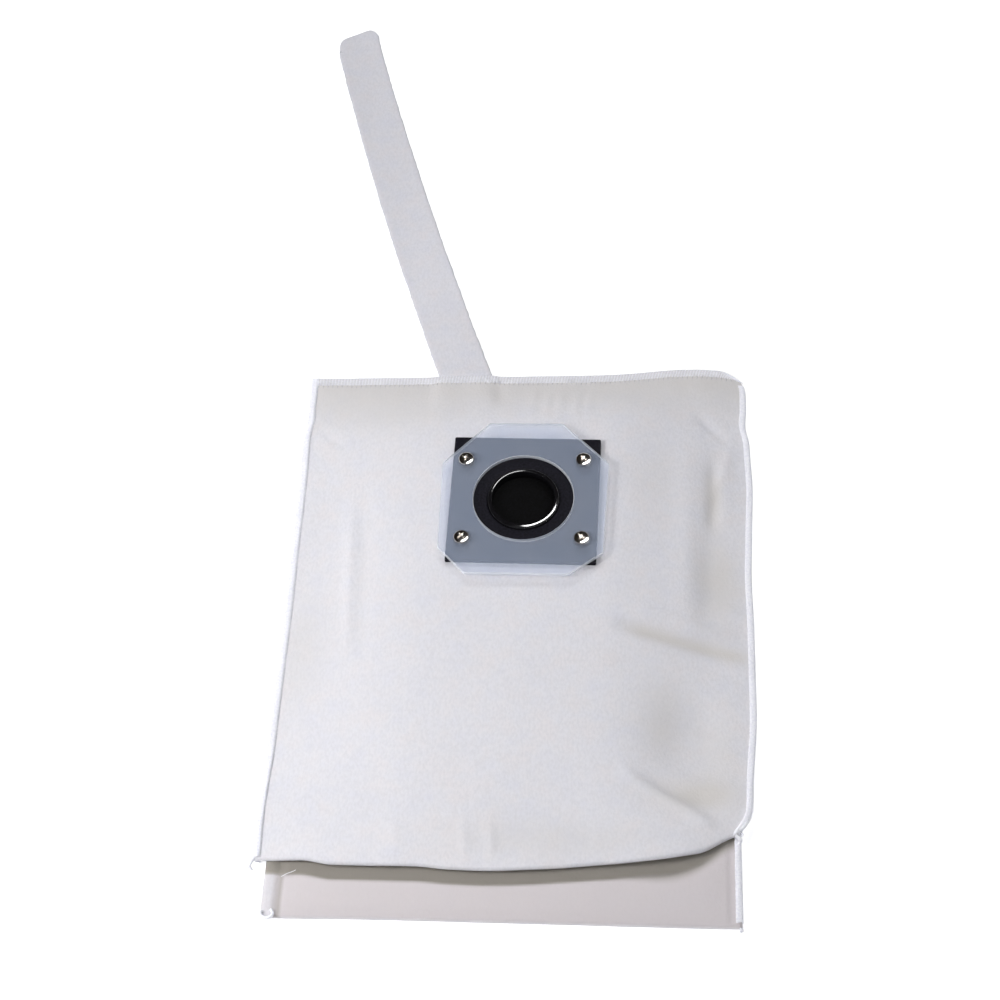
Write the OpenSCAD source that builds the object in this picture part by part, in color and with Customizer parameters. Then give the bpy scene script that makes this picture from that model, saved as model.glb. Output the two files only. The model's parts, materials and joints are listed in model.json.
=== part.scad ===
// Reusable cloth dust collector bag, lying flat.
// Origin: centre of the inlet, on the outer face of the seal sheet.
// X runs across the bag, Y towards its top seam, Z away from its back.

/* [Bag] */
// Width of the cloth between the side seams
bag_w = 300; // [240:1:400]
// Length of the front cloth, from the top seam to its front fold
front_l = 367; // [280:1:480]
// Distance from the top seam down to the centre of the inlet
inlet_drop = 110; // [90:1:150]
// Length of gusset that shows between the front fold and the rear fold
fold_step = 32; // [16:1:60]
// Depth that the gusset is tucked in behind the front fold
tuck_depth = 35; // [20:1:60]
// Thickness of the felt cloth
cloth_t = 1.8; // [1:0.1:2.6]
// Height of the rounded front fold
fold_h = 7.4; // [6:0.1:8.4]
// Width of cloth that lies level around the flange
crown_margin = 4; // [2:0.5:12]
// Thickness of the overlock thread outside the cloth's edge
seam_w = 1.2; // [0.8:0.1:2]
// Radius of the thread knots at the lower corners
knot_r = 1.8; // [1:0.1:2.6]

/* [Flange] */
// Width of the flange plate
plate_w = 110; // [104:1:140]
// Height of the flange plate
plate_h = 116; // [108:1:140]
// Thickness of the flange plate
plate_t = 3; // [2:0.1:4]
// Distance from the inlet's centre up to the flange plate's centre
plate_rise = 1; // [0:0.5:4]
// Legs of the flange plate's two upper clipped corners
upper_clip = 33; // [10:1:34]
// Legs of the flange plate's two lower clipped corners
lower_clip = 20; // [10:1:30]
// Radius of the flange plate's opening
plate_hole_r = 33; // [30:0.5:38]
// Side of the square seal sheet
seal_side = 98; // [90:1:110]
// Thickness of the seal sheet
seal_t = 3; // [2:0.1:4]
// Side of the square clamp plate inside the bag
clamp_side = 104; // [96:1:110]
// Legs of the clamp plate's clipped corners
clamp_clip = 14; // [4:1:20]
// Thickness of the clamp plate
clamp_t = 3; // [2.5:0.1:4]

/* [Inlet] */
// Inner radius of the lip ring, where the machine's spigot enters
inlet_r = 20.5; // [16:0.1:25]
// Wall of the lip ring
lip_wall = 3.5; // [2:0.1:5]
// Height of the lip ring's straight wall above the seal sheet
lip_rise = 1; // [0.5:0.1:1.2]
// Width of the foot that holds the lip ring under the seal sheet
foot_w = 3; // [2:0.1:4]
// Thickness of the lip ring's foot
foot_t = 1.2; // [0.8:0.1:1.6]
// Distance from the foot out to the edge of the cloth's opening
mouth_play = 2; // [1:0.1:4]
// Width by which the flap laps over the lip ring's opening
flap_lap = 3.5; // [2:0.1:4]
// Thickness of the flap
flap_t = 1.6; // [1.2:0.1:2]
// Width of the flap's tab and hinge
tab_w = 14; // [8:1:20]
// Length of the clamped tab
tab_l = 11; // [6:0.5:14]

/* [Fasteners] */
// Spacing of the screws across the bag
screw_dx = 78; // [74:0.5:84]
// Spacing of the screws along the bag
screw_dy = 62; // [58:0.5:68]
// Height of the screws' centre above the inlet's centre
screw_rise = -1.5; // [-3:0.5:3]
// Diameter of the screws
screw_d = 5; // [4:0.5:6]
// Length of the screws under the head
screw_l = 16; // [16:1:25]
// Diameter of the pan heads
head_d = 10.5; // [8:0.1:11]
// Height of the pan heads
head_h = 3.2; // [2.4:0.1:4]
// Width of one slot of the cross recess
recess_w = 1.1; // [0.8:0.1:1.4]
// Diameter of the washers
washer_d = 10; // [9:0.5:12]
// Thickness of the washers
washer_t = 1; // [0.6:0.1:1.4]
// Width of the nuts across their flats
nut_af = 8; // [7:0.5:10]
// Height of the nuts
nut_h = 4; // [3:0.1:5]

/* [Strap] */
// Width of the strap
strap_w = 34; // [20:1:50]
// Length of the free part of the strap
strap_l = 358; // [200:1:500]
// Thickness of the strap
strap_t = 1.6; // [1:0.1:2]
// Place of the strap's root along the top seam
strap_x = -44; // [-80:1:80]
// Lean of the strap to the left
strap_lean = 17; // [0:1:30]
// Length of the strap that is sewn in under the top seam
strap_tuck = 18; // [10:1:30]
// Distance from the top seam out to the line on which the strap folds up
strap_step = 4.5; // [3:0.5:10]

/* [Clearances] */
// Gap between pieces that move past each other
gap = 0.3; // [0.2:0.05:0.5]
// Gap between two plies of folded cloth
ply_gap = 0.3; // [0.1:0.05:0.5]
// Radial play of the screws in the plates
hole_play = 0.25; // [0.1:0.05:0.5]
// Radial play of ring, nuts and tab in their seats
seat_play = 0.1; // [0.05:0.05:0.2]
// Space between the screw tips and the back cloth
tip_space = 2.7; // [1:0.1:8]

/* [Hidden] */
$fn = 64;

// Levels, from the flange down to the surface that the bag lies on
cloth_top = -seal_t;
clamp_top = cloth_top - cloth_t;
washer_top = clamp_top - clamp_t;
nut_top = washer_top - washer_t;
screw_tip = plate_t - screw_l;
back_top = min(screw_tip, nut_top - nut_h) - tip_space;
rest_z = back_top - cloth_t;
leaf_top = back_top + ply_gap + cloth_t;
front_low = leaf_top + gap;
edge_top = front_low + cloth_t;

// Places along the bag
top_y = inlet_drop;
front_y = top_y - front_l;
rear_y = front_y - fold_step;
tuck_y = front_y + tuck_depth;
fold_r = fold_h / 2;
nose_y = front_y + fold_r;
rear_r = (leaf_top - rest_z) / 2;
crown_w = max(plate_w, clamp_side) + 2 * crown_margin;
crown_up = max(plate_rise + plate_h / 2, clamp_side / 2) + crown_margin;
crown_down = min(plate_rise - plate_h / 2, -clamp_side / 2) - crown_margin;
side_x = bag_w / 2 + gap;

// Inlet
lip_r = inlet_r + lip_wall;
mouth_r = lip_r + foot_w + mouth_play;
flap_r = inlet_r + flap_lap;
flap_top = cloth_top - foot_t - gap;
hinge_r = flap_t / 2;
hinge_z = flap_top - hinge_r;
tab_y = sqrt(pow(mouth_r, 2) - pow(tab_w / 2, 2));
hinge_y = tab_y - gap - hinge_r;
tab_t = flap_t;

// Screws, numbered from the upper left in reading order
screw_r = screw_d / 2;
screw_at = [
    for (y = [1, -1], x = [-1, 1]) [x * screw_dx / 2, screw_rise + y * screw_dy / 2]
];
recess_l = head_d * 0.5;
recess_depth = head_h * 0.55;

// Strap
strap_half = strap_w / 2 / cos(strap_lean);
strap_hinge_r = strap_t / 2;
strap_in_z = (back_top + front_low - strap_t) / 2;
seam_out_y = top_y + gap + seam_w;
strap_y = seam_out_y + strap_step;

// Colours
felt = [0.93, 0.93, 0.91];
thread = [0.86, 0.88, 0.95];
frosted = [0.78, 0.82, 0.86, 0.7];
rubber = [0.1, 0.1, 0.11];
chrome = [0.75, 0.75, 0.76];
zinc = [0.68, 0.69, 0.7];
inner_plastic = [0.82, 0.84, 0.85];
past = 1;

// A profile drawn in X and Z, drawn out along Y between two places
module along_y(y0, y1) {
    translate([0, y1, 0])
        rotate([90, 0, 0])
            linear_extrude(y1 - y0)
                children();
}

// A profile drawn in Y and Z, drawn out along X to both sides
module along_x(width) {
    rotate([90, 0, 90])
        linear_extrude(width, center = true)
            children();
}

// Points of the front fold's rounded nose, from its top round to its bottom
function nose(r) = [
    for (a = [90:15:270]) [nose_y + r * cos(a), front_low + fold_r + r * sin(a)]
];

// Space under the front cloth: its outer face at sink 0, its inner face a cloth thickness lower
module front_space(sink, floor_line) {
    intersection() {
        along_y(front_y - past, top_y)
            polygon([
                [-bag_w / 2, front_low - 2 * past], [-bag_w / 2, edge_top - sink],
                [-crown_w / 2, cloth_top - sink], [crown_w / 2, cloth_top - sink],
                [bag_w / 2, edge_top - sink], [bag_w / 2, front_low - 2 * past]
            ]);
        along_x(bag_w)
            polygon(concat(
                nose(fold_r - sink),
                floor_line,
                [[top_y, edge_top - sink], [crown_up, cloth_top - sink], [crown_down, cloth_top - sink]]
            ));
    }
}

module screw_holes(top, depth) {
    for (p = screw_at)
        translate([p[0], p[1], top - depth - past])
            cylinder(h = depth + 2 * past, r = screw_r + hole_play);
}

module mouth(top, depth) {
    translate([0, 0, top - depth - past])
        cylinder(h = depth + 2 * past, r = mouth_r, $fn = 96);
}

// A square sheet with clipped corners
module clipped(w, up, down, upper, lower) {
    polygon([
        [-w / 2 + upper, up], [w / 2 - upper, up], [w / 2, up - upper], [w / 2, down + lower],
        [w / 2 - lower, down], [-w / 2 + lower, down], [-w / 2, down + lower], [-w / 2, up - upper]
    ]);
}

module front_cloth() {
    color(felt)
        difference() {
            front_space(0, [[top_y, front_low]]);
            front_space(cloth_t, [
                [tuck_y, front_low + cloth_t], [tuck_y, front_low - past], [top_y, front_low - past]
            ]);
            mouth(cloth_top, cloth_t);
            screw_holes(cloth_top, cloth_t);
        }
}

module back_cloth() {
    color(felt)
        along_x(bag_w)
            difference() {
                union() {
                    translate([rear_y + rear_r, rest_z + rear_r])
                        circle(rear_r);
                    translate([rear_y + rear_r, rest_z])
                        square([top_y - rear_y - rear_r, cloth_t]);
                    translate([rear_y + rear_r, back_top + ply_gap])
                        square([tuck_y - rear_y - rear_r, cloth_t]);
                }
                translate([rear_y + rear_r, rest_z + rear_r])
                    circle(ply_gap / 2);
                translate([rear_y + rear_r, back_top])
                    square([top_y - rear_y, ply_gap]);
            }
}

// Overlock thread along one side, lower where only the gusset strip lies
module side_seam(side) {
    x = side > 0 ? side_x : -side_x - seam_w;
    color(thread) {
        translate([x, front_y, rest_z])
            cube([seam_w, top_y - front_y, edge_top - rest_z]);
        translate([x, rear_y, rest_z])
            cube([seam_w, front_y - rear_y, leaf_top - rest_z]);
    }
}

module seam_left() {
    side_seam(-1);
}

module seam_right() {
    side_seam(1);
}

// Thread along the top edge, with a slot for the strap that passes through it
module seam_top() {
    slot_x = strap_x + (strap_y - top_y) * tan(strap_lean);
    color(thread)
        difference() {
            translate([-side_x - seam_w, top_y + gap, rest_z])
                cube([2 * (side_x + seam_w), seam_w, edge_top - rest_z]);
            translate([slot_x - strap_half - 2 * gap, top_y, strap_in_z - seat_play])
                cube([2 * strap_half + 4 * gap, seam_w + past, strap_t + 2 * seat_play]);
        }
}

// Knots where the side seams end, at the front fold and at the rear fold
module thread_tails() {
    color(thread)
        for (side = [-1, 1]) {
            translate([side * (side_x + seam_w + seat_play + knot_r), front_y + knot_r, rest_z + knot_r])
                sphere(knot_r, $fn = 24);
            translate([side * (side_x + seam_w / 2), rear_y - seat_play - knot_r, rest_z + knot_r])
                sphere(knot_r, $fn = 24);
        }
}

// A leaning length of strap that starts on a line along X
module strap_blank(length) {
    end = [-sin(strap_lean), cos(strap_lean)] * length;
    half = [cos(strap_lean), sin(strap_lean)] * strap_w / 2;
    linear_extrude(strap_t)
        polygon([[-strap_half, 0], [strap_half, 0], end + half, end - half]);
}

// Sewn-in end of the strap, which passes through the seam and drops to the fold line
module strap_root() {
    in_y = top_y - strap_tuck;
    out_y = strap_y - strap_hinge_r - gap;
    bend_y = seam_out_y + gap;
    shift = (strap_y - in_y) * tan(strap_lean);
    color(felt)
        intersection() {
            translate([0, 0, rest_z - past])
                linear_extrude(edge_top - rest_z)
                    polygon([
                        [strap_x - strap_half, strap_y], [strap_x + strap_half, strap_y],
                        [strap_x + strap_half + shift, in_y], [strap_x - strap_half + shift, in_y]
                    ]);
            along_x(bag_w)
                polygon([
                    [in_y, strap_in_z], [bend_y, strap_in_z], [out_y, rest_z],
                    [out_y, rest_z + strap_t], [bend_y, strap_in_z + strap_t], [in_y, strap_in_z + strap_t]
                ]);
        }
}

module strap() {
    color(felt)
        translate([strap_x, strap_y, rest_z]) {
            strap_blank(strap_l);
            translate([-strap_half, 0, strap_hinge_r])
                rotate([0, 90, 0])
                    cylinder(h = 2 * strap_half, r = strap_hinge_r);
        }
}

module flange_plate() {
    color(frosted)
        difference() {
            linear_extrude(plate_t)
                clipped(plate_w, plate_rise + plate_h / 2, plate_rise - plate_h / 2, upper_clip, lower_clip);
            translate([0, 0, -past])
                cylinder(h = plate_t + 2 * past, r = plate_hole_r, $fn = 96);
            screw_holes(plate_t, plate_t);
        }
}

module seal_sheet() {
    color(rubber)
        difference() {
            translate([-seal_side / 2, -seal_side / 2, -seal_t])
                cube([seal_side, seal_side, seal_t]);
            translate([0, 0, -seal_t - past])
                cylinder(h = seal_t + 2 * past, r = lip_r + seat_play, $fn = 96);
            screw_holes(0, seal_t);
        }
}

// Ring with a straight bore, a rounded rim and a foot under the seal sheet
module lip_ring() {
    color(rubber)
        rotate_extrude($fn = 96)
            union() {
                translate([inlet_r, cloth_top - foot_t])
                    square([lip_wall, seal_t + foot_t + lip_rise]);
                translate([inlet_r, cloth_top - foot_t])
                    square([lip_wall + foot_w, foot_t]);
                translate([inlet_r + lip_wall / 2, lip_rise])
                    circle(lip_wall / 2, $fn = 32);
            }
}

// Plate inside the bag, with a recess that takes the flap's tab
module clamp_plate() {
    color(inner_plastic)
        difference() {
            translate([0, 0, clamp_top - clamp_t])
                linear_extrude(clamp_t)
                    clipped(clamp_side, clamp_side / 2, -clamp_side / 2, clamp_clip, clamp_clip);
            mouth(clamp_top, clamp_t);
            screw_holes(clamp_top, clamp_t);
            translate([-tab_w / 2 - seat_play, 0, clamp_top - tab_t - seat_play])
                cube([tab_w + 2 * seat_play, tab_y + tab_l + seat_play, tab_t + past]);
        }
}

module flap_tab() {
    color(rubber)
        translate([-tab_w / 2, tab_y, clamp_top - tab_t])
            cube([tab_w, tab_l, tab_t]);
}

// Disc that closes the inlet from inside and swings down about its edge
module valve_flap() {
    color(rubber) {
        translate([0, 0, flap_top - flap_t])
            cylinder(h = flap_t, r = flap_r, $fn = 96);
        translate([-tab_w / 2, 0, flap_top - flap_t])
            cube([tab_w, hinge_y, flap_t]);
        translate([-tab_w / 2, hinge_y, hinge_z])
            rotate([0, 90, 0])
                cylinder(h = tab_w, r = hinge_r);
    }
}

// Pan head screw: domed head, cross recess, plain shank
module screw(i) {
    color(chrome)
        translate([screw_at[i - 1][0], screw_at[i - 1][1], plate_t])
            difference() {
                union() {
                    rotate_extrude()
                        intersection() {
                            square([head_d / 2, head_h]);
                            translate([0, head_h - head_d * 0.72])
                                circle(head_d * 0.72);
                        }
                    translate([0, 0, -screw_l])
                        cylinder(h = screw_l, r = screw_r);
                }
                for (turn = [0, 90])
                    rotate([0, 0, turn])
                        translate([-recess_l / 2, -recess_w / 2, head_h - recess_depth])
                            cube([recess_l, recess_w, recess_depth + past]);
            }
}

module washer(i) {
    color(zinc)
        translate([screw_at[i - 1][0], screw_at[i - 1][1], washer_top - washer_t])
            difference() {
                cylinder(h = washer_t, r = washer_d / 2);
                translate([0, 0, -past])
                    cylinder(h = washer_t + 2 * past, r = screw_r + hole_play);
            }
}

module nut(i) {
    color(zinc)
        translate([screw_at[i - 1][0], screw_at[i - 1][1], nut_top - nut_h])
            difference() {
                cylinder(h = nut_h, r = nut_af / 2 / cos(30), $fn = 6);
                translate([0, 0, -past])
                    cylinder(h = nut_h + 2 * past, r = screw_r + seat_play);
            }
}

back_cloth();
seam_left();
seam_right();
seam_top();
thread_tails();
strap_root();
strap();
front_cloth();
flange_plate();
seal_sheet();
lip_ring();
clamp_plate();
flap_tab();
valve_flap();
for (i = [1:4]) {
    screw(i);
    washer(i);
    nut(i);
}
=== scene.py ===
import json
import math
import random

import bpy
import bmesh
import numpy as np
from mathutils import Matrix, Vector

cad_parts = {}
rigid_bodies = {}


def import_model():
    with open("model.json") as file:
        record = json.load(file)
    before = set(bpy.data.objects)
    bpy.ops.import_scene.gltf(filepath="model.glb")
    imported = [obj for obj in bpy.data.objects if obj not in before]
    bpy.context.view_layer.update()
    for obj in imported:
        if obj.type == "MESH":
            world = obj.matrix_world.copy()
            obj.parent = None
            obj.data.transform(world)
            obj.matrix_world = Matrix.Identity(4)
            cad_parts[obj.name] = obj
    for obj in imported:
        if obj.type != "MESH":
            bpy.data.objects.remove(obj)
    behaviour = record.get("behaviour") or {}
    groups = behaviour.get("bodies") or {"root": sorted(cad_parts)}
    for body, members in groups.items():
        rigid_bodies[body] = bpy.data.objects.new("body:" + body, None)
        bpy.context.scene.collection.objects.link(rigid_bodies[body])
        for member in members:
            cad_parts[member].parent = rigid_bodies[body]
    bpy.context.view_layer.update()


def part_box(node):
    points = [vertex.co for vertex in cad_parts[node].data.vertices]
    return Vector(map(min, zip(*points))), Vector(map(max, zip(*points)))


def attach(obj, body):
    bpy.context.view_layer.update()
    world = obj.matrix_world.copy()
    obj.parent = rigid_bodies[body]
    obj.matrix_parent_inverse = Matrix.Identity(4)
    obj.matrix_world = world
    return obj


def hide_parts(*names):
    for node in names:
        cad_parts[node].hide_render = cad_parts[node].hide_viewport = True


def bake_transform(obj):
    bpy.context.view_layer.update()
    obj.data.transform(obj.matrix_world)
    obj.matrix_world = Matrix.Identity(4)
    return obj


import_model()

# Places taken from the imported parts, in metres
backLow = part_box("back_cloth")[0]
frontLow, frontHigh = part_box("front_cloth")
plateLow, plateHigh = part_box("flange_plate")
sealLow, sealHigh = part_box("seal_sheet")
lipLow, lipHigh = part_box("lip_ring")
flapLow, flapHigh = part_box("valve_flap")
tabLow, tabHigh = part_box("flap_tab")
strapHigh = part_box("strap")[1]
screwBoxes = [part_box(f"screw_{i}") for i in range(1, 5)]
floorZ = backLow.z
topY = frontHigh.y
foldY = frontLow.y
rearY = backLow.y
halfWidth = frontHigh.x
crownZ = sealLow.z
scene = bpy.context.scene
scene.view_settings.view_transform = "Standard"


# small helpers

def ease(t):
    t = np.clip(t, 0, 1)
    return t * t * (3 - 2 * t)


def hump(distance, spread):
    return np.exp(-(distance / spread) ** 2)


def alongLine(x, y, start, end):
    # distance across a line and how far along it a point lies, 0 at start and 1 at end
    dx, dy = end[0] - start[0], end[1] - start[1]
    length = math.hypot(dx, dy)
    across = ((x - start[0]) * dy - (y - start[1]) * dx) / length
    along = ((x - start[0]) * dx + (y - start[1]) * dy) / length ** 2
    return across, along


def crease(x, y, start, end, height, spread):
    # a soft straight fold that fades out past both of its ends
    across, along = alongLine(x, y, start, end)
    length = math.hypot(end[0] - start[0], end[1] - start[1])
    past = np.maximum(np.maximum(-along, along - 1), 0) * length
    return height * hump(across, spread) * hump(past, 2.2 * spread)


def waves(x, y, seed, size, count=7):
    # smooth irregular undulation between about -1 and 1
    rng = random.Random(seed)
    total = 0 * x
    for _ in range(count):
        turn, phase = rng.uniform(0, math.tau), rng.uniform(0, math.tau)
        k = math.tau / (size * rng.uniform(0.7, 1.6))
        total = total + np.sin(k * (x * math.cos(turn) + y * math.sin(turn)) + phase)
    return total / math.sqrt(count) / 1.4


def link(obj):
    scene.collection.objects.link(obj)
    return obj


def makeObject(name, points, faces, material, smooth=True):
    mesh = bpy.data.meshes.new(name)
    mesh.from_pydata([tuple(p) for p in points], [], faces)
    mesh.update()
    if smooth:
        mesh.shade_smooth()
    mesh.materials.append(material)
    return link(bpy.data.objects.new(name, mesh))


def finishedMesh(obj, name=None):
    # the evaluated result as a plain mesh object, in place of the one with modifiers
    name = name or obj.name
    bpy.context.view_layer.update()
    graph = bpy.context.evaluated_depsgraph_get()
    mesh = bpy.data.meshes.new_from_object(obj.evaluated_get(graph))
    mesh.transform(obj.matrix_world)
    bpy.data.objects.remove(obj)
    mesh.name = name
    return link(bpy.data.objects.new(name, mesh))


def recalculated(obj):
    work = bmesh.new()
    work.from_mesh(obj.data)
    bmesh.ops.remove_doubles(work, verts=work.verts, dist=1e-6)
    bmesh.ops.recalc_face_normals(work, faces=work.faces)
    work.to_mesh(obj.data)
    work.free()
    return obj


# materials

def newNode(tree, kind, **values):
    made = tree.nodes.new(kind)
    for key, value in values.items():
        if hasattr(made, key):
            setattr(made, key, value)
        else:
            made.inputs[key.replace("_", " ")].default_value = value
    return made


def startMaterial(name, roughness, **sockets):
    material = bpy.data.materials.new(name)
    material.use_nodes = True
    tree = material.node_tree
    shader = tree.nodes["Principled BSDF"]
    shader.inputs["Roughness"].default_value = roughness
    for key, value in sockets.items():
        shader.inputs[key.replace("_", " ")].default_value = value
    return material, tree, shader


def noiseNode(tree, scale, detail=3, stretch=(1, 1, 1), coords="Object"):
    source = newNode(tree, "ShaderNodeTexCoord")
    mapping = newNode(tree, "ShaderNodeMapping")
    mapping.inputs["Scale"].default_value = stretch
    texture = newNode(tree, "ShaderNodeTexNoise", Scale=scale, Detail=detail)
    tree.links.new(source.outputs[coords], mapping.inputs["Vector"])
    tree.links.new(mapping.outputs["Vector"], texture.inputs["Vector"])
    return texture.outputs["Fac"]


def ramp(tree, source, stops):
    made = newNode(tree, "ShaderNodeValToRGB")
    elements = made.color_ramp.elements
    while len(elements) < len(stops):
        elements.new(0.5)
    for element, (place, colour) in zip(elements, stops):
        element.position = place
        element.color = (*colour, 1)
    tree.links.new(source, made.inputs["Fac"])
    return made.outputs["Color"]


def mixColours(tree, first, second, factor, way="MIX"):
    made = newNode(tree, "ShaderNodeMix", data_type="RGBA", blend_type=way)
    for socket, value in ((6, first), (7, second), (0, factor)):
        if hasattr(value, "is_linked"):
            tree.links.new(value, made.inputs[socket])
        elif socket:
            made.inputs[socket].default_value = (*value, 1)
        else:
            made.inputs[socket].default_value = value
    return made.outputs[2]


def bumpFrom(tree, shader, heights, distance, strength=1.0):
    # chains one bump node for each height, the last nearest the shader
    normal = None
    for height, share in heights:
        made = newNode(tree, "ShaderNodeBump", Strength=strength * share, Distance=distance)
        tree.links.new(height, made.inputs["Height"])
        if normal:
            tree.links.new(normal, made.inputs["Normal"])
        normal = made.outputs["Normal"]
    tree.links.new(normal, shader.inputs["Normal"])


def roughnessFrom(tree, shader, source, low, high):
    made = newNode(tree, "ShaderNodeMapRange", To_Min=low, To_Max=high)
    tree.links.new(source, made.inputs["Value"])
    tree.links.new(made.outputs["Result"], shader.inputs["Roughness"])


feltLook = {
    "cool": (0.715, 0.720, 0.785),
    "plain": (0.740, 0.738, 0.785),
    "warm": (0.750, 0.732, 0.765),
    "fibreDark": (0.60, 0.60, 0.645),
    "beige": (0.620, 0.600, 0.590),    # painted shade, brownish, below the top seam and in the hollows and creases
    "strip": (0.612, 0.568, 0.585),    # painted shade on the strip below the front fold, slightly pink
    "deep": (0.31, 0.290, 0.26),       # painted shade in the tuck under the front fold
    "mottleSize": 0.014,
    "fibreSize": 0.0015,
    "fibreShare": 0.42,                # how strongly the dark fibres show
}


def feltMaterial(name, tint=(1, 1, 1), shadeColour=None, deepColour=None):
    material, tree, shader = startMaterial(name, 0.93, Sheen_Weight=0.22, Sheen_Roughness=0.45,
                                           Specular_IOR_Level=0.18)
    look = feltLook
    mottle = noiseNode(tree, 1 / look["mottleSize"], 4)
    colour = ramp(tree, mottle, [(0.30, look["cool"]), (0.50, look["plain"]), (0.70, look["warm"])])
    fibres = noiseNode(tree, 1 / look["fibreSize"], 5, (1, 0.55, 1))
    darker = ramp(tree, fibres, [(0.30, (1, 1, 1)), (0.62, (0, 0, 0))])
    share = newNode(tree, "ShaderNodeMath", operation="MULTIPLY")
    tree.links.new(darker, share.inputs[0])
    share.inputs[1].default_value = look["fibreShare"]
    colour = mixColours(tree, colour, look["fibreDark"], share.outputs[0])
    colour = mixColours(tree, colour, tint, 1.0, "MULTIPLY")
    heights = [(noiseNode(tree, 1 / (6 * look["fibreSize"]), 3), 0.25), (fibres, 0.5)]
    # painted shade: the seamShade and tuckShade attributes pull the colour towards shadeColour and deepColour
    if shadeColour:
        shade = newNode(tree, "ShaderNodeAttribute", attribute_name="seamShade")
        colour = mixColours(tree, colour, shadeColour, shade.outputs["Fac"])
    if deepColour:
        shade = newNode(tree, "ShaderNodeAttribute", attribute_name="tuckShade")
        colour = mixColours(tree, colour, deepColour, shade.outputs["Fac"])
    tree.links.new(colour, shader.inputs["Base Color"])
    roughnessFrom(tree, shader, fibres, 0.86, 0.98)
    bumpFrom(tree, shader, heights, 0.0006, 0.8)
    return material


def threadMaterial(name, colour, shadow):
    material, tree, shader = startMaterial(name, 0.6, Sheen_Weight=0.3, Sheen_Roughness=0.4)
    twist = noiseNode(tree, 900, 3, (1, 1, 0.4))
    base = ramp(tree, twist, [(0.35, shadow), (0.62, colour)])
    tree.links.new(base, shader.inputs["Base Color"])
    roughnessFrom(tree, shader, noiseNode(tree, 300, 2), 0.45, 0.75)
    bumpFrom(tree, shader, [(twist, 0.5)], 0.0002)
    return material


def frostedMaterial(name, alpha, dark, light):
    material, tree, shader = startMaterial(name, 0.32, IOR=1.46, Alpha=alpha,
                                           Coat_Weight=0.15, Coat_Roughness=0.25)
    cloud = noiseNode(tree, 40, 4)
    base = ramp(tree, cloud, [(0.3, dark), (0.7, light)])
    tree.links.new(base, shader.inputs["Base Color"])
    roughnessFrom(tree, shader, noiseNode(tree, 260, 5), 0.26, 0.42)
    bumpFrom(tree, shader, [(noiseNode(tree, 420, 4), 0.25)], 0.0003)
    return material


def rubberMaterial(name, dark, light, low, high, bump, gloss):
    material, tree, shader = startMaterial(name, low, Specular_IOR_Level=gloss)
    base = ramp(tree, noiseNode(tree, 700, 5), [(0.35, dark), (0.75, light)])
    tree.links.new(base, shader.inputs["Base Color"])
    roughnessFrom(tree, shader, noiseNode(tree, 130, 4), low, high)
    bumpFrom(tree, shader, [(noiseNode(tree, 1300, 3), bump)], 0.0003)
    return material


def metalMaterial(name, dark, light, low, high, scale):
    material, tree, shader = startMaterial(name, low, Metallic=1.0)
    base = ramp(tree, noiseNode(tree, scale, 4), [(0.3, dark), (0.7, light)])
    tree.links.new(base, shader.inputs["Base Color"])
    roughnessFrom(tree, shader, noiseNode(tree, 2 * scale, 4, (1, 6, 1)), low, high)
    bumpFrom(tree, shader, [(noiseNode(tree, 4 * scale, 3), 0.2)], 0.0001)
    return material


def plasticMaterial(name, dark, light):
    material, tree, shader = startMaterial(name, 0.4, IOR=1.48)
    base = ramp(tree, noiseNode(tree, 60, 4), [(0.3, dark), (0.7, light)])
    tree.links.new(base, shader.inputs["Base Color"])
    roughnessFrom(tree, shader, noiseNode(tree, 300, 4), 0.32, 0.5)
    bumpFrom(tree, shader, [(noiseNode(tree, 900, 3), 0.3)], 0.0002)
    return material


# painted shade below the top seam and in the hollows, through the seamShade attribute
feltFront = feltMaterial("feltFront", shadeColour=feltLook["beige"])
# painted shade on the strip under the front fold and in the tuck
feltBack = feltMaterial("feltBack", shadeColour=feltLook["strip"], deepColour=feltLook["deep"])
feltStrap = feltMaterial("feltStrap", (0.955, 0.955, 0.965))
threadWhite = threadMaterial("threadWhite", (0.94, 0.95, 1.0), (0.84, 0.85, 0.93))
# grey needle thread: painted shade standing in for the dents the stitches pull into the cloth
threadGrey = threadMaterial("threadGrey", (0.60, 0.59, 0.62), (0.50, 0.49, 0.52))
frosted = frostedMaterial("frostedPlastic", 0.185, (0.63, 0.74, 0.97), (0.69, 0.79, 1.0))
# painted highlight: brighter, denser finish for the plate's cut edges
frostedEdge = frostedMaterial("frostedEdge", 0.45, (0.86, 0.90, 0.95), (0.92, 0.95, 1.0))
rubberSheet = rubberMaterial("rubberSheet", (0.003, 0.003, 0.006), (0.012, 0.011, 0.019),
                             low=0.55, high=0.75, bump=0.5, gloss=0.06)
rubberLip = rubberMaterial("rubberLip", (0.004, 0.004, 0.005), (0.008, 0.008, 0.010),
                           low=0.08, high=0.15, bump=0.05, gloss=0.8)
rubberFlap = rubberMaterial("rubberFlap", (0.002, 0.002, 0.002), (0.004, 0.004, 0.005),
                            low=0.8, high=0.95, bump=0.4, gloss=0.03)
screwSteel = metalMaterial("screwSteel", (0.52, 0.49, 0.46), (0.74, 0.72, 0.70), 0.10, 0.22, 300)
zincSteel = metalMaterial("zincSteel", (0.50, 0.51, 0.53), (0.68, 0.69, 0.71), 0.28, 0.48, 260)
innerPlastic = plasticMaterial("innerPlastic", (0.60, 0.62, 0.63), (0.70, 0.72, 0.73))
print("materials made")


# outline and heights of the bag

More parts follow.
